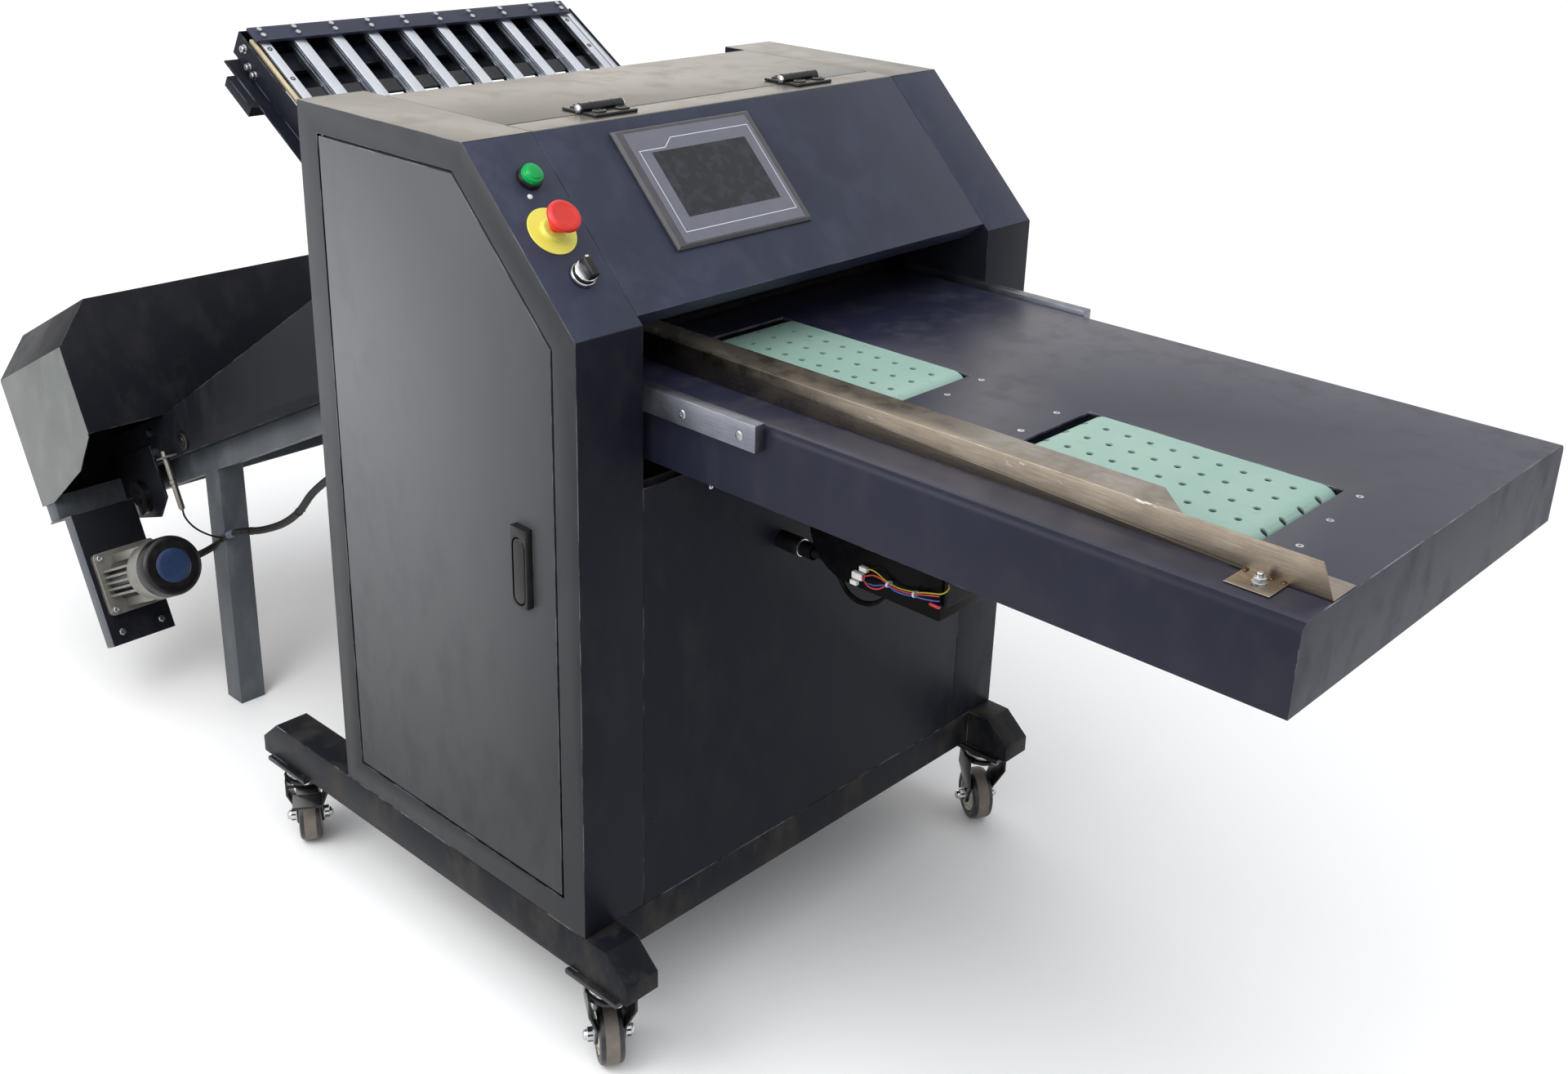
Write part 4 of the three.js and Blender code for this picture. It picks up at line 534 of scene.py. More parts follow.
red_wire_route = [
    (-169, -207, 685), (-170.5, -215, 690), (-171, -224, 694), (-171, -235, 694), (-170.5, -246, 690.5),
    (-170.5, -258, 688.5), (-170.5, -271, 689.5), (-170.5, -284, 692), (-170, -297, 695.5), (-168.5, -308, 698),
    (-166.5, -315, 699)]
red_loop_route = [
    (-169, -207, 687.5), (-173, -213, 684), (-175, -222, 680.5), (-175, -232, 681), (-173.5, -240, 685),
    (-172.5, -247, 691.5)]
blue_wire_route = [
    (-169, -207, 682), (-170, -216, 681), (-171, -226, 682), (-171.5, -236, 686), (-172, -246, 689.5),
    (-172, -258, 687), (-172, -271, 687.5), (-172, -284, 690), (-171.5, -297, 691.5), (-170, -309, 693),
    (-167.5, -316.5, 694)]
yellow_wire_route = [
    (-169, -212, 696), (-171, -221, 700), (-171.5, -231, 699), (-171, -240, 695), (-169, -247, 691.8),
    (-168.6, -259, 690), (-168.6, -272, 691.5), (-168.8, -285, 694), (-169.5, -298, 698.5), (-170, -310, 702),
    (-169.5, -320, 705), (-167, -325, 709), (-163, -325, 712), (-160, -322, 713)]
cord("motor_cable_jacket", motor_cable_route, 12, cable_jacket, "medium", "motor_cable")
cord("blower_lead_jacket", blower_lead_route, 7, cable_jacket, "medium", "blower_lead")
sensor_axis = (-300, 743, 0)
sensor_outline = [(3.6, 16), (5, 15), (5, 6.2), (7.6, 6.1), (7.6, 2.8), (5, 2.7), (5, -34), (6.2, -35), (6.2, -41),
                  (5, -42), (5, -50)]
fit(lathe("sensor_barrel", sensor_outline, sensor_axis, "Z", 28), delivery_plane, brass, "ground_steel")
sensor_foot = lathe("sensor_foot", [(5, -50.2), (5, -82), (3.4, -86)], sensor_axis, "Z", 28)
fit(sensor_foot, delivery_plane, brass, "ground_steel")
cord("sensor_lead", sensor_lead_route, 3.2, cable_jacket, "limp", far_end="fitting", with_pieces=[sensor_foot])
cord("blower_red_wire", red_wire_route, 1.8, red_wire, "limp")
cord("blower_red_loop", red_loop_route, 1.8, red_wire, "limp")
cord("blower_blue_wire", blue_wire_route, 1.8, blue_wire, "limp")
cord("blower_yellow_wire", yellow_wire_route, 1.6, yellow_wire, "limp")


def cable_band(name, here, onward, radius, half, finish, headed=True):
    """A tie or tape round a cable at a point, square to its run."""
    parts = [lathe("band", [(radius, -half), (radius + 1.0, -half + 0.3), (radius + 1.0, half - 0.3),
                            (radius, half)], sides=24)]
    if headed:
        parts.append(block("head", (radius - 0.5, -2.2, -2.0), (radius + 3.8, 2.2, 2.0), 0.7))
    aim = (spot(*onward) - spot(*here)).to_track_quat("Z", "Y").to_matrix().to_4x4()
    fit(joined(name, parts), Matrix.Translation(spot(*here)) @ aim, finish, "grey_plastic")


# Floor, backdrop and lamps
bpy.ops.object.select_all(action="DESELECT")
bpy.ops.mesh.primitive_plane_add(size=60, location=(0, 0, -0.5 * mm))
ground = take("studio_floor")
floor_finish, tree, shader, where = start("pale_floor", Roughness=0.9, Specular_IOR_Level=0.2)
tree.links.new(laid(tree, patches(tree, where, 400, 0.3, 0.7), 0.3, linear("#fbfbfa"), linear("#f6f6f5")),
               shader.inputs["Base Color"])
ground.data.materials.append(floor_finish)

world = bpy.data.worlds.new("studio")
bpy.context.scene.world = world
world.use_nodes = True
tree = world.node_tree
rays = add(tree, "LightPath").node.outputs
straight = add(tree, "Math", {0: rays["Is Camera Ray"], 1: rays["Is Glossy Ray"]}, operation="ADD")
seen = add(tree, "Math", {0: straight, 1: rays["Is Transmission Ray"]}, operation="ADD", use_clamp=True)
tree.links.new(laid(tree, seen, 1.0, linear("#c8cbd1"), linear("#ffffff")), tree.nodes["Background"].inputs["Color"])
tree.nodes["Background"].inputs["Strength"].default_value = 1.0


def lamp(name, around, down, power, spread, colour="#ffffff"):
    """A soft lamp far off: it shines round from the front and downwards, in degrees."""
    data = bpy.data.lights.new(name, "SUN")
    data.energy = power
    data.angle = math.radians(spread)
    data.color = linear(colour)[:3]
    holder = bpy.data.objects.new(name, data)
    link(holder)
    holder.rotation_euler = (quarter - math.radians(down), 0, math.radians(around))


lamp("overhead_softbox", -50, 66, 1.6, 60)
lamp("left_window", -100, 14, 0.4, 50, "#fff6ea")
lamp("rear_window", 150, 24, 0.5, 50, "#fff1dc")
softbox_data = bpy.data.lights.new("left_softbox", "AREA")
softbox_data.energy = 14
softbox_data.size = 0.9
softbox = bpy.data.objects.new("left_softbox", softbox_data)
link(softbox)
softbox.location = spot(-1350, 460, 1500)
softbox.rotation_euler = (spot(-412, 260, 1050) - softbox.location).to_track_quat("-Z", "Y").to_euler()

# Solids that are shown as packed: their finishes, with rubber on every roller
plain_finishes = {"creasing_anvil": steel_ground, "creasing_blade": steel_ground, "sheet_stop": black_enamel,
                  "carrier_belt": carrier_cover}
plain_finishes.update({name: roller_rubber for name in solids if "roller" in name})
for name, finish in plain_finishes.items():
    solids[name].data.materials.clear()
    solids[name].data.materials.append(finish)

# Folded sheet, tubes and bars, with the finishes of their other faces
folded_sheet = [
    ("left_housing", "left_housing_shell", 1.2, 40, navy_coat),
    ("right_housing", "right_housing_shell", 1.2, 40, navy_coat),
    # The top cover takes the pale copy that is painted glare
    ("top_cover", "top_cover_sheet", 1.2, 60, glare_top_coat),
    ("feed_table", "feed_table_tray", 1.2, 120, table_coat),
    ("base_frame", "base_frame_beams", 2.2, 24, beam_coat),
    ("delivery_cover", "delivery_cover_hood", 1.2, 60, delivery_coat),
    ("delivery_tray", "delivery_tray_sheet", 0.8, 60, delivery_coat),
    ("delivery_frame", "delivery_frame_tubes", 2.2, 35, lit_tube_coat),
    ("motor_bracket", "motor_bracket_sheet", 1.0, 60, delivery_coat),
    ("fold_plate_frame", "fold_plate_side_frame", 0.8, 60, navy_coat),
    ("fold_plate_slats", "fold_plate_slat_profiles", 0.4, 200, aluminium_profile, "aluminium"),
    ("front_panel", "front_panel_sheet", 1.2, 60, navy_coat),
    ("rear_panel", "rear_panel_sheet", 1.2, 60, navy_coat),
]
shown = {row[0]: rounded(*row) for row in folded_sheet}
slope_low, slope_high = 2, 258
for node in ("left_housing", "right_housing"):
    # Painted light: the slope faces take the lighter copy of the navy coat
    touch_up(shown[node], lit_slope_coat, lambda x, up, out: abs(out) < 2 * on_face and slope_low < up < slope_high,
             slope_plane)
    # Painted reflection: the roof faces take the pale glare copy
    touch_up(shown[node], glare_top_coat, lambda x, y, z: z > roof_face - 0.4)
# Painted reflection: the left face gets its own coat for the weaker painted sheen laid on it
touch_up(shown["left_housing"], side_coat, lambda x, y, z: x < -side_face + on_face)
# Painted shade: the tray's sides below its top take the darker copy
touch_up(shown["feed_table"], shaded_table_side_coat, lambda x, y, z: z < table_face - 2 * on_face)
touch_up(shown["base_frame"], black_enamel, lambda x, y, z: z < beam_foot - on_face)
# Painted light: the bracket's left face, which the light falls on, takes the lighter grey copy
touch_up(shown["motor_bracket"], lit_tube_coat, lambda x, y, z: x < -bracket_side)
# Painted light: the cover's sides take the light grey copy while its front keeps the dark coat
touch_up(shown["delivery_cover"], lit_cover_side_coat, lambda x, y, z: abs(x) > side_face - on_face)

# The blower's round socket in front of the front panel, the cable gland behind the rear panel
touch_up(shown["front_panel"], black_polyamide, lambda x, y, z: y < -1)
touch_up(shown["rear_panel"], black_polyamide, lambda x, y, z: y > rear_face)
socket_axis = (-82, 0, 636)
socket_outline = [(10.4, -14.2), (12.2, -15), (12.2, -34), (11.4, -35.5), (10.4, -36), (10.4, -58)]
nut_outline = [(10.3, -36.2), (11.6, -36.6), (11.6, -38.6), (10.3, -39)]
relief_outline = [(7, -55), (7, -60), (5, -68), (3.9, -80)]
fit(lathe("blower_socket_shell", socket_outline, socket_axis, "Y", 28), floor_plane, black_polyamide, "black_plastic")
fit(lathe("blower_socket_nut", nut_outline, socket_axis, "Y", 28), floor_plane, zinc, "ground_steel")
fit(lathe("blower_lead_relief", relief_outline, socket_axis, "Y", 24), floor_plane, black_polyamide, "black_plastic")

# Hood with the sheet's folded edge, and its two cast hinges
# The hood's faces take the lighter slope copy of the navy coat, painted light
hood = rounded("hood", "hood_sheet", 1.2, 60, lit_slope_coat, body="hood")
# Painted reflection: the hood's roof faces take the pale glare copy
touch_up(hood, glare_top_coat, lambda x, y, z: roof_face - 1 < z < roof_face + 0.2)
touch_up(hood, black_enamel, lambda x, y, z: z > roof_face + 0.2)
hinge_y = 229.5
hinge_z = 1156.3
oval_boss = lathe("oval_boss", [(8.2, 0), (8.2, 2.2), (7.4, 3), (5.6, 3.1), (4.8, 2.0)], sides=28)
oval_boss.data.transform(Matrix.Diagonal((1.25, 0.9, 1, 1)))


def hinge_leaf(name, x, toward, body):
    """One leaf of a cast hinge: a plate with two oval bosses, each dished for its screw."""
    near, far = sorted((hinge_y + toward * 7.2, hinge_y + toward * 31))
    parts = [block("leaf", (x - 33.5, near, 1150.35), (x + 33.5, far, 1154.2), 1.4, 3)]
    for offset in (-18.5, 18.5):
        parts.append(copied(oval_boss, "boss", (x + offset, hinge_y + toward * 19.5, 1153.4)))
    return fit(joined(name, parts), floor_plane, black_enamel, "black_paint", body=body)


for side, x in (("left", -175), ("right", 175)):
    axis_point = (x, hinge_y, hinge_z)
    hinge_leaf(f"hood_hinge_front_leaf_{side}", x, -1, "hood")
    rear_leaf = hinge_leaf(f"hood_hinge_rear_leaf_{side}", x, 1, "machine")
    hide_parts(f"hood_hinge_{side}")
    knuckle = lathe("knuckle", [(6.2, -16.7), (6.9, -16.1), (6.9, 16.1), (6.2, 16.7)], axis_point, "X", 28)
    stem = block("stem", (x - 16.7, hinge_y, 1150.5), (x + 16.7, hinge_y + 9, 1153.6), 0.5)
    fit(joined(f"hood_hinge_knuckle_{side}", [knuckle, stem]), floor_plane, black_enamel, "black_paint")
    ends = [lathe("knuckle", [(6.2, a), (6.9, a + 0.6), (6.9, b - 0.6), (6.2, b)], axis_point, "X", 28)
            for a, b in ((-33.2, -17.0), (17.0, 33.2))]
    fit(joined(f"hood_hinge_ends_{side}", ends), floor_plane, black_enamel, "black_paint", body="hood")
    heads = [lathe("head", [(5.6, a * 33.3), (5.6, a * 35.2), (4.6, a * 36.2), (2.2, a * 36.8)], axis_point, "X", 24)
             for a in (-1, 1)]
    pin = lathe("pin", [(2.9, -33.6), (2.9, 33.6)], axis_point, "X", 20)
    fit(joined(f"hood_hinge_pin_{side}", [*heads, pin]), floor_plane, zinc, "ground_steel")
bpy.data.objects.remove(oval_boss)

# Side door with its proud lock plate and tongue handle
door = rounded("side_door", "side_door_panel", 0.9, 40, door_coat, body="door")
touch_up(door, black_abs, lambda x, y, z: x < -side_face - on_face)
handle = ease(solid_copy("door_handle", "door_handle_lever"), 2.2, 4, lambda middle, edge: middle.x < -421.5 * mm)
dress(handle, black_abs, "black_plastic", "door_handle", body="handle")

# Touch panel: bezel, printed foil, screen; the name's place is bare
bezel = ease(block("touch_panel_bezel", (-213.5, 76, 0.3), (13.5, 241, 6.3)), 3.2, 1,
             lambda middle, edge: middle.z > 6 * mm)
ease(bezel, 0.4, 2)
back_box = block("touch_panel_back", (-206, 83.5, -33.5), (6, 233.5, 0.4), 1.0)
fit(joined("touch_panel_bezel", [bezel, back_box]), slope_plane, bezel_abs, "grey_plastic", "touch_panel", body="hood")
fit(block("touch_panel_foil", (-200, 81, 6.0), (2, 234, 6.55), 0.15, 1),
    slope_plane, face_foil, "grey_plastic", body="hood")
screen_corners = [(-174, 113), (-19, 113), (-19, 204), (-174, 204)]
fit(ease(cut_plate("touch_panel_screen", screen_corners, 6.4, 6.75), 0.15, 1),
    slope_plane, touch_film(), "black_plastic", body="hood")


def printed_line(name, corners, width, low, high):
    """A printed line of one width round closed corners."""
    inner, outer = [], []
    for before, here, after in zip([corners[-1], *corners], corners, [*corners[1:], corners[0]]):
        into = (Vector(here) - Vector(before)).normalized()
        away = (Vector(after) - Vector(here)).normalized()
        side = (Vector((-into.y, into.x)) + Vector((-away.y, away.x))).normalized()
        spread = width / 2 / max(0.3, side.dot(Vector((-into.y, into.x))))
        inner.append(Vector(here) + side * spread)
        outer.append(Vector(here) - side * spread)
    strips = []
    for here in range(len(corners)):
        there = (here + 1) % len(corners)
        strips.append(cut_plate("strip", [outer[here], outer[there], inner[there], inner[here]], low, high))
    return joined(name, strips)


frame_corners = [(-191, 95), (-4, 95), (-4, 220), (-134, 220), (-150, 208), (-191, 208)]
fit(printed_line("touch_panel_frame_line", frame_corners, 1.0, 6.5, 6.62),
    slope_plane, white_ink, "grey_plastic", body="hood")

# Pilot lamp, emergency stop and selector on the left housing's slope
lamp_spot, stop_spot, selector_spot = (-355, 202, 0), (-363, 134, 0), (-358, 74, 0)
fit(lathe("pilot_lamp_collar", [(10.8, -24), (10.8, 0.2), (15, 0.3), (15, 5), (14.2, 6.8), (12.9, 7.2), (12.9, 3)],
          lamp_spot, "Z", 36), slope_plane, black_abs, "black_plastic", "pilot_lamp")
fit(lathe("pilot_lamp_lens", [(12.5, 2.5), (12.5, 12.2), (12.1, 13), (9.9, 13.6), (9.6, 14.4), (9.3, 15.6),
                              (8.4, 16.2)], lamp_spot, "Z", 40), slope_plane, green_lens, "green_lens")
fit(lathe("emergency_stop_disc", [(6.4, -24), (10.8, -24), (10.8, 0.2), (30, 0.3), (30, 1.0), (29.6, 1.4),
                                  (15.2, 1.5)], stop_spot, "Z", 56),
    slope_plane, yellow_disc, "yellow_plastic", "emergency_stop_plate")
fit(lathe("emergency_stop_neck", [(15.6, 1.2), (15.2, 2.6), (14.2, 3.2), (13.2, 6.2), (12.4, 6.6), (8, 6.5)],
          stop_spot, "Z", 44), slope_plane, yellow_neck, "yellow_plastic")
fit(lathe("emergency_stop_head",
          [(5.8, -17.8), (5.8, 14), (11, 14.4), (12.6, 16), (13.2, 22), (15.8, 24.6), (19.2, 26), (20, 27.6),
           (20, 30.4), (19.4, 32.2), (17.8, 33.5), (14.6, 34), (13.2, 33.6), (10, 33.4)], stop_spot, "Z", 48),
    slope_plane, red_head, "red_plastic", "emergency_stop_button", body="stop_button")
barrel = lathe("selector_barrel", [(10.8, -24), (10.8, 0.2), (14, 0.4), (14, 9.5), (13.2, 11.6), (12.6, 12.3)],
               selector_spot, "Z", 40)
grip_outline = [(-5, -12.6), (5, -12.6), (5, 8.5), (3.6, 12.8), (-3.6, 12.8), (-5, 8.5)]
grip = cut_plate("selector_grip", [(x + selector_spot[0], y + selector_spot[1]) for x, y in grip_outline], 11.6, 24.3)
ease(grip, 1.3, 3, lambda middle, edge: middle.z > 13 * mm)
fit(joined("selector_knob_black", [barrel, grip]), slope_plane, black_abs, "black_plastic", "selector_knob",
    body="selector")
chrome_ring = lathe("ring", [(14.1, 1.6), (15.2, 2.0), (15.2, 4.6), (14.6, 5.6), (14.1, 5.8)], selector_spot, "Z", 40)
chrome_lip = lathe("lip", [(13.3, 10.6), (13.9, 11.0), (13.5, 12.2), (12.7, 12.6)], selector_spot, "Z", 40)
fit(joined("selector_chrome_rings", [chrome_ring, chrome_lip]), slope_plane, chrome, "aluminium", body="selector")
fit(block("selector_index", (-360.2, 84, 23.9), (-355.8, 86.4, 24.6), 0.3),
    slope_plane, white_nylon, "grey_plastic", body="selector")
fit(lathe("slope_rivet", [(3.2, 0.1), (3.2, 0.6), (2.6, 1.6), (1.2, 2.1)], (-366, 180, 0), "Z", 24),
    slope_plane, white_nylon, "grey_plastic")

# Feed table: flush cross-head screws, suction belts with their holes, carrying bars
head = lathe("head", [(3.8, -1.5), (3.8, 0.06), (3.5, 0.12)], sides=20)
slots = [block("slot", (-2.6, -0.55, 0.05), (2.6, 0.55, 0.2)), block("slot", (-0.55, -2.6, 0.05), (0.55, 2.6, 0.2))]
cross_screw = joined("cross_screw", [head, *slots])
screw_spots = [(-6, -235), (-75, -239), (-32, -357), (-106, -362), (-6, -696), (-82, -702), (-157, -709)]
screw_places = [*[plane(x, y, table_face) for x, y in screw_spots], plane(-207, 0, 744, tilt=90)]
for number, place in enumerate(screw_places):
    screw = dress(copied(cross_screw, f"cross_head_screw_{number}", place), zinc, "ground_steel")
    touch_up(screw, black_enamel, lambda x, y, z: z > 0.15, place)
bpy.data.objects.remove(cross_screw)

hole_rows = [-36, -72.6, -109.2, -145.8, -181]
hole_pitch = 27.15
for end, rearmost, count in (("front", -396, 11), ("rear", 59, 10)):
    belt = solid_copy(f"feed_belt_{end}", f"feed_belt_{end}_cover")
    holes = [(x, rearmost - hole_pitch * i, 0) for x in hole_rows for i in range(count)]
    cutters = repeated("drills", lathe("drill", [(4, 840), (4, 900)], sides=14), holes)
    drill(belt, settle(cutters, floor_plane))
    alone(belt)
    bpy.ops.object.shade_smooth_by_angle(angle=smooth_angle)
    dress(belt, suction_belt, "suction_belt", f"feed_belt_{end}")

for side, sign in (("left", -1), ("right", 1)):
    rounded(f"table_bar_{side}", f"table_bar_{side}_milled", 0.8, 0, aluminium_bar, "aluminium")
    head_outline = outward(sign, 315.7, [(5.4, -0.5), (5.4, 0.5), (4.8, 0.9), (2.6, 0.9), (2.4, 0.2)])
    socket_head = lathe("head", head_outline, axis="X", sides=24)
    screws = repeated(f"table_bar_screws_{side}", socket_head, [(0, -149, 880), (0, -62, 880)])
    fit(screws, floor_plane, steel_ground, "ground_steel")

# Side guide: folded stainless with a slotted tab, its clamping bolt and weld spots
rounded("side_guide", "side_guide_strip", 0.45, 12, stainless, "stainless_steel", "guide")
clamp_x, clamp_y = -258, -722
slot_run, slot_radius = 8, 3.4
slot_outline = [(clamp_x + slot_run * end + slot_radius * math.cos(math.radians(angle)),
                 clamp_y + slot_radius * math.sin(math.radians(angle)))
                for end, angles in ((1, range(-90, 91, 30)), (-1, range(90, 271, 30))) for angle in angles]
fit(cut_plate("guide_tab_slot", slot_outline, 893.7, 893.9), floor_plane, black_enamel, "black_paint", body="guide")
clamp_parts = [("washer", [(7, 893.9), (7, 895), (6.4, 895.3)], 28),
               ("nut", [(6.6, 895.2), (6.6, 899.2), (5.8, 900)], 6),
               ("stud", [(3.4, 899.5), (3.4, 903.2), (2.8, 904)], 20)]
clamp = [lathe(name, outline, (clamp_x, clamp_y, 0), "Z", sides) for name, outline, sides in clamp_parts]
fit(joined("guide_clamp_bolt", clamp), floor_plane, zinc, "ground_steel", body="guide")
bead = lathe("bead", [(2.4, -0.3), (2.2, 0.6), (1.4, 1.3), (0.5, 1.6)], sides=16)
fit(repeated("guide_weld_spots", bead, [(-244.6, y, 893.8) for y in (-738, -726, -713, -701)]),
    floor_plane, weld_tint, "stainless_steel", body="guide")

# Blower under the table, with its wires along the lower edge
rounded("blower", "blower_housing", 1.6, 20, blower_shell, "black_plastic")
fit(block("blower_front_cap", (-161, -321.5, 684), (-66, -315.5, 788), 2.0, 3),
    floor_plane, black_polyamide, "black_plastic")
connectors = [block("connector", (-172, -208, 680.5), (-165.2, -193, 688.8), 1.0),
              block("connector", (-171.5, -214, 692.5), (-165.2, -203, 698.5), 1.0),
              block("connector", (-171, -200, 671.5), (-165.2, -190, 677), 0.8)]
fit(joined("blower_wire_connectors", connectors), floor_plane, white_nylon, "grey_plastic")
cable_band("blower_wire_tie_rear", (-170.6, -246, 690.6), (-170.6, -256, 689), 2.8, 1.2, white_nylon)
cable_band("blower_wire_tie_front", (-170.6, -284, 691.8), (-170.4, -294, 694), 2.8, 1.2, white_nylon)
fit(lathe("blower_wire_sleeve", [(1.6, -304), (2.2, -305.5), (2.2, -317), (1.6, -318)], (-168.4, 0, 687), "Y", 18),
    floor_plane, red_wire, "cable_jacket")

# Base frame: bright swivel races, plate bolts and the castors
castor_places = [("front_left", -386.5, -16), ("front_right", 386.5, -16), ("rear_left", -386.5, 666),
                 ("rear_right", 386.5, 666)]
castor_yaw = 147
axle = (0, -18, 40)
race = lathe("castor_race", [(26.4, 126.0), (27.9, 126.6), (28.4, 128.8), (27.9, 131.2), (26.8, 132)], sides=36)
plate_bolts = repeated("castor_plate_bolts", lathe("bolt", [(6.2, 137.6), (6.2, 133.6), (5.4, 133)], sides=6),
                       [(x, y, 0) for x in (-24, 24) for y in (-39, 39)])
tyre = lathe("tyre", [(27.2, -11), (28.6, -15.4), (31, -16), (35, -15.9), (38.2, -14.2), (39.6, -11), (39.7, 0),
                      (39.6, 11), (38.2, 14.2), (35, 15.9), (31, 16), (28.6, 15.4), (27.2, 11)], axle, "X", 56)
tread = lathe("tread", [(38.6, -9.2), (40, -8.6), (40, 8.6), (38.6, 9.2)], axle, "X", 56)
hub = lathe("hub", [(15.6, -15.9), (17, -15.6), (18.4, -12.4), (23.6, -12.4), (25, -15), (26.6, -15.2), (27.1, -13),
                    (27.1, 13), (26.6, 15.2), (25, 15), (23.6, 12.4), (18.4, 12.4), (17, 15.6), (15.6, 15.9)],
            axle, "X", 48)
bearing = lathe("bearing", [(9, -16.1), (14, -16.1), (14.6, -15.5), (14.6, 15.5), (14, 16.1), (9, 16.1)], axle, "X", 36)
nuts = []
for sign in (-1, 1):
    nuts.append(lathe("nut", outward(sign, 0, [(9.6, 21), (9.6, 27.2), (8.6, 28.2)]), axle, "X", 6))
    dome = outward(sign, 0, [(7.4, 27.6), (7.2, 30), (6, 32.4), (3.6, 33.8), (1.2, 34.2)])
    nuts.append(lathe("dome", dome, axle, "X", 24))
    nuts.append(lathe("washer", outward(sign, 0, [(10.6, 19.7), (10.6, 21.2)]), axle, "X", 28))
acorns = joined("castor_axle_nuts", nuts)
for name, x, y in castor_places:
    place = plane(x, y, 0, yaw=castor_yaw)
    level = plane(x, y, 0)
    wheel = f"wheel_{name}"
    dress(copied(race, f"castor_race_{name}", level), zinc, "ground_steel")
    dress(copied(plate_bolts, f"castor_plate_bolts_{name}", level), zinc, "ground_steel")
    rolling = copied(tyre, f"castor_tyre_{name}", place)
    dress(rolling, shoulder_rubber, "wheel_rubber", f"castor_wheel_{name}", body=wheel)
    dress(copied(tread, f"castor_tread_{name}", place), tread_rubber, "wheel_rubber", body=wheel)
    dress(copied(hub, f"castor_hub_{name}", place), hub_nylon, "grey_plastic", body=wheel)
    dress(copied(bearing, f"castor_bearing_{name}", place), black_enamel, "black_paint", body=wheel)
    dress(copied(acorns, f"castor_axle_nuts_{name}", place), zinc, "ground_steel", body=f"castor_{name}")
    fork = f"castor_fork_{name}"
    rounded(fork, f"{fork}_pressed", 1.0, 9, black_enamel, "black_paint", f"castor_{name}")
for pattern in (race, plate_bolts, tyre, tread, hub, bearing, acorns):
    bpy.data.objects.remove(pattern)
for side in ("left", "right"):
    pedal = f"brake_pedal_{side}"
    rounded(pedal, f"{pedal}_pressed", 0.9, 6, black_enamel, "black_paint", f"pedal_{side}")

# Fold plate: top rail with its bolt heads proud of it, a strip beside each end bar, screws, and a folded dark sheet
# under the slats that stands in for the shade between them
# The rail takes the lighter slope copy of the navy coat, painted light
rail = rounded("fold_plate_rail", "fold_plate_top_rail", 0.7, 20, lit_slope_coat)
touch_up(rail, zinc, lambda x, along, out: out > 1.9, fold_plane)
for side, sign, strip_edge, strip_finish in (("left", -1, 281, beige_strip), ("right", 1, 286.5, aluminium_profile)):
    low, high = sorted((sign * 275, sign * strip_edge))
    fit(block(f"fold_plate_strip_{side}", (low, -58, -11), (high, 379, -5.2), 0.8),
        fold_plane, strip_finish, "grey_plastic")
    sink = lathe("sink", [(3.6, -4), (3.6, -3.2), (3.2, -3.0), (1.8, -3.1), (1.6, -3.6)], sides=20)
    fit(repeated(f"end_bar_screws_{side}", sink, [(sign * 264, along, 0) for along in (354, 292, 196, 96)]),
        fold_plane, black_enamel, "black_paint")
    cap_outline = outward(sign, 290, [(6.2, 0), (6.2, 1.2), (4.6, 1.2), (4.6, 6), (4.2, 6.4), (2.4, 6.4), (2.2, 4)])
    cap_screw = lathe("cap_screw", cap_outline, axis="X", sides=24)
    screws = repeated(f"side_plate_screws_{side}", cap_screw, [(0, 371, -14), (0, 352, -30), (0, 336, -31)])
    fit(screws, fold_plane, zinc, "ground_steel")

# A dark folded sheet under the upper end of the slats, standing in for the shade seen between them
end_outline = [(310, -42), (398, -42), (398, -6), (396.5, -6), (396.5, -40.5), (310, -40.5)]
shade_sheet = ease(cut_plate("fold_plate_shade_sheet", end_outline, -286.8, 286.8, "X"), 0.5, 2, longer(300))
end_flanges = [block("flange", (low, 380, -41.8), (low + 1.5, 397, -6.2)) for low in (-286.7, 285.2)]
fit(joined("fold_plate_shade_sheet", [shade_sheet, *end_flanges]), fold_plane, navy_coat, "dark_powder_coat")

# Delivery motor: square flange, bright fins on four sides round a black core of painted shade, end ring and fan cap
# with a plain disc
motor_x, motor_z = -350.2, -168.0
motor_axis = (motor_x, 0, motor_z)
flange_half = 54
fin_offsets = (-21.3, -10.7, 0, 10.7, 21.3)
flange = block("flange", (motor_x - flange_half, 897.7, motor_z - flange_half),
               (motor_x + flange_half, 909.7, motor_z + flange_half))
ease(flange, 7, 4, lambda middle, edge: abs(abs(middle.x / mm - motor_x) - flange_half) < 1
     and abs(abs(middle.z / mm - motor_z) - flange_half) < 1)
ease(flange, 0.8, 2)
# Painted shade: a black core fills the gaps between the fins
fit(lathe("delivery_motor_shaded_core", [(39.5, 785), (39.5, 898)], motor_axis, "Y", 48),
    delivery_plane, black_enamel, "black_paint")
fin = block("fin", (-2.2, 786, 30), (2.2, 897.9, 46), 0.8)
round_motor = Matrix.Translation(Vector(motor_axis) * mm)
fins = repeated("fins", fin, [round_motor @ Matrix.Rotation(side * quarter, 4, "Y")
                              @ Matrix.Translation(Vector((offset, 0, 0)) * mm)
                              for side in range(4) for offset in fin_offsets])
shaft = lathe("shaft", [(8, 909), (8, 934.5), (7, 935.7)], motor_axis, "Y", 28)
end_ring = lathe("ring", [(46, 800), (49.4, 797), (50, 794), (50, 757), (49.2, 755.5)], motor_axis, "Y", 56)
terminal = block("terminal", (motor_x + 24, 787, motor_z - 15), (motor_x + 54, 845, motor_z + 15), 2, 3)
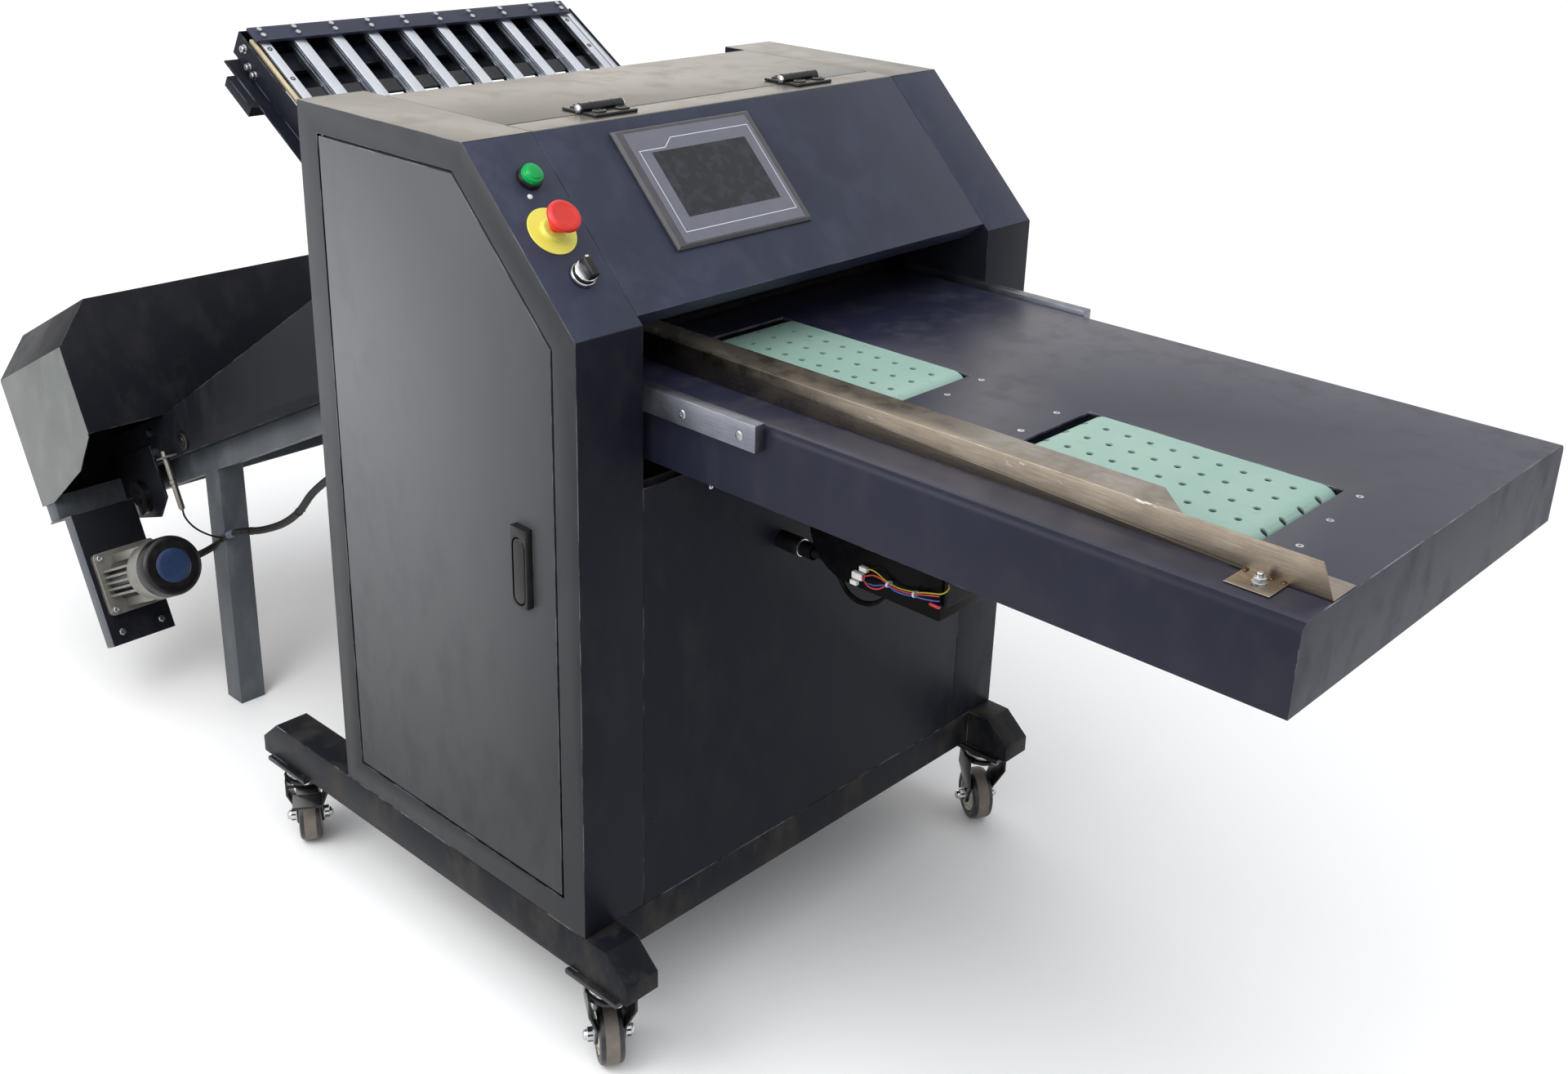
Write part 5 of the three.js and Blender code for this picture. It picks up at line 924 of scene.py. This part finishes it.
fit(joined("delivery_motor_body", [flange, fins, shaft, end_ring, terminal]),
    delivery_plane, aluminium_cast, "aluminium", "delivery_motor")
fit(lathe("delivery_motor_cap", [(49.4, 757), (49.9, 755), (49.9, 736), (48.4, 731), (45, 728.4), (41, 727.9),
                                 (29.5, 727.9), (28.6, 728.7)], motor_axis, "Y", 56),
    delivery_plane, black_abs, "black_plastic")
fit(lathe("delivery_motor_cap_disc", [(28.2, 729.5), (28.2, 728.2), (27.6, 727.8), (20, 727.7)], motor_axis, "Y", 48),
    delivery_plane, cap_disc, "grey_plastic")
flange_screw = lathe("screw", [(5, 898), (5, 892), (4.4, 891.4), (2.6, 891.4), (2.4, 893.5)], axis="Y", sides=20)
screws = repeated("delivery_motor_screws", flange_screw,
                  [(motor_x + dx, 0, motor_z + dz) for dx in (-45, 45) for dz in (-45, 45)])
fit(screws, delivery_plane, zinc, "ground_steel")
bracket_bolt = lathe("bolt", [(6, 910.2), (6, 905.4), (5.2, 904.6)], axis="Y", sides=6)
fit(repeated("motor_bracket_bolts", bracket_bolt, [(-322, 0, -252), (-392, 0, -252)]),
    delivery_plane, zinc, "ground_steel")
cable_band("motor_cable_tie_low", (-246.2, 1112, 313), (-247, 1098, 322.5), 5.6, 1.4, black_polyamide)
cable_band("motor_cable_tape", (-248.6, 1079, 333), (-250.5, 1060, 342.5), 5.8, 14, cable_tape, headed=False)
cable_band("motor_cable_tie_mid", (-256, 1000, 367), (-259, 960, 383), 5.6, 1.4, black_polyamide)
cable_band("motor_cable_tie_high", (-270, 825, 462), (-280, 765, 515), 5.6, 1.4, black_polyamide)

# Delivery: side plates with a pulley, bearings of the rollers, sensor on its bracket
plate_outline = [(812, 34), (962, 34), (986, 8), (986, -18), (944, -76), (858, -86), (812, -58)]
for side, sign in (("left", -1), ("right", 1)):
    low, high = sorted((sign * 285.1, sign * 289.1))
    fit(ease(cut_plate(f"delivery_side_plate_{side}", plate_outline, low, high, "X"), 0.8, 2),
        delivery_plane, delivery_coat, "dark_powder_coat")
    pulley_outline = outward(sign, 289, [(30, 0), (30, 2), (27, 2.4), (27, 9), (30, 9.4), (30, 11), (12, 11), (12, 14),
                                         (5, 14)])
    fit(lathe(f"delivery_pulley_{side}", pulley_outline, (0, 897, -44), "X", 40),
        delivery_plane, black_enamel, "black_paint")
    bearing_outline = outward(sign, 285.2, [(15, 0), (15, 3.2), (13, 4.6), (8, 4.6), (7.4, 6), (6.2, 6)])
    fit(repeated(f"delivery_bearings_{side}", lathe("bearing", bearing_outline, axis="X"),
                 [(0, 40, 20.3), (0, 690, 20.3)]), delivery_plane, black_enamel, "black_paint")
# The sensor bracket takes the lighter grey copy, painted light
fit(block("sensor_bracket", (-310, 730, 3), (-285.1, 756, 6), 0.6), delivery_plane, lit_tube_coat, "dark_powder_coat")
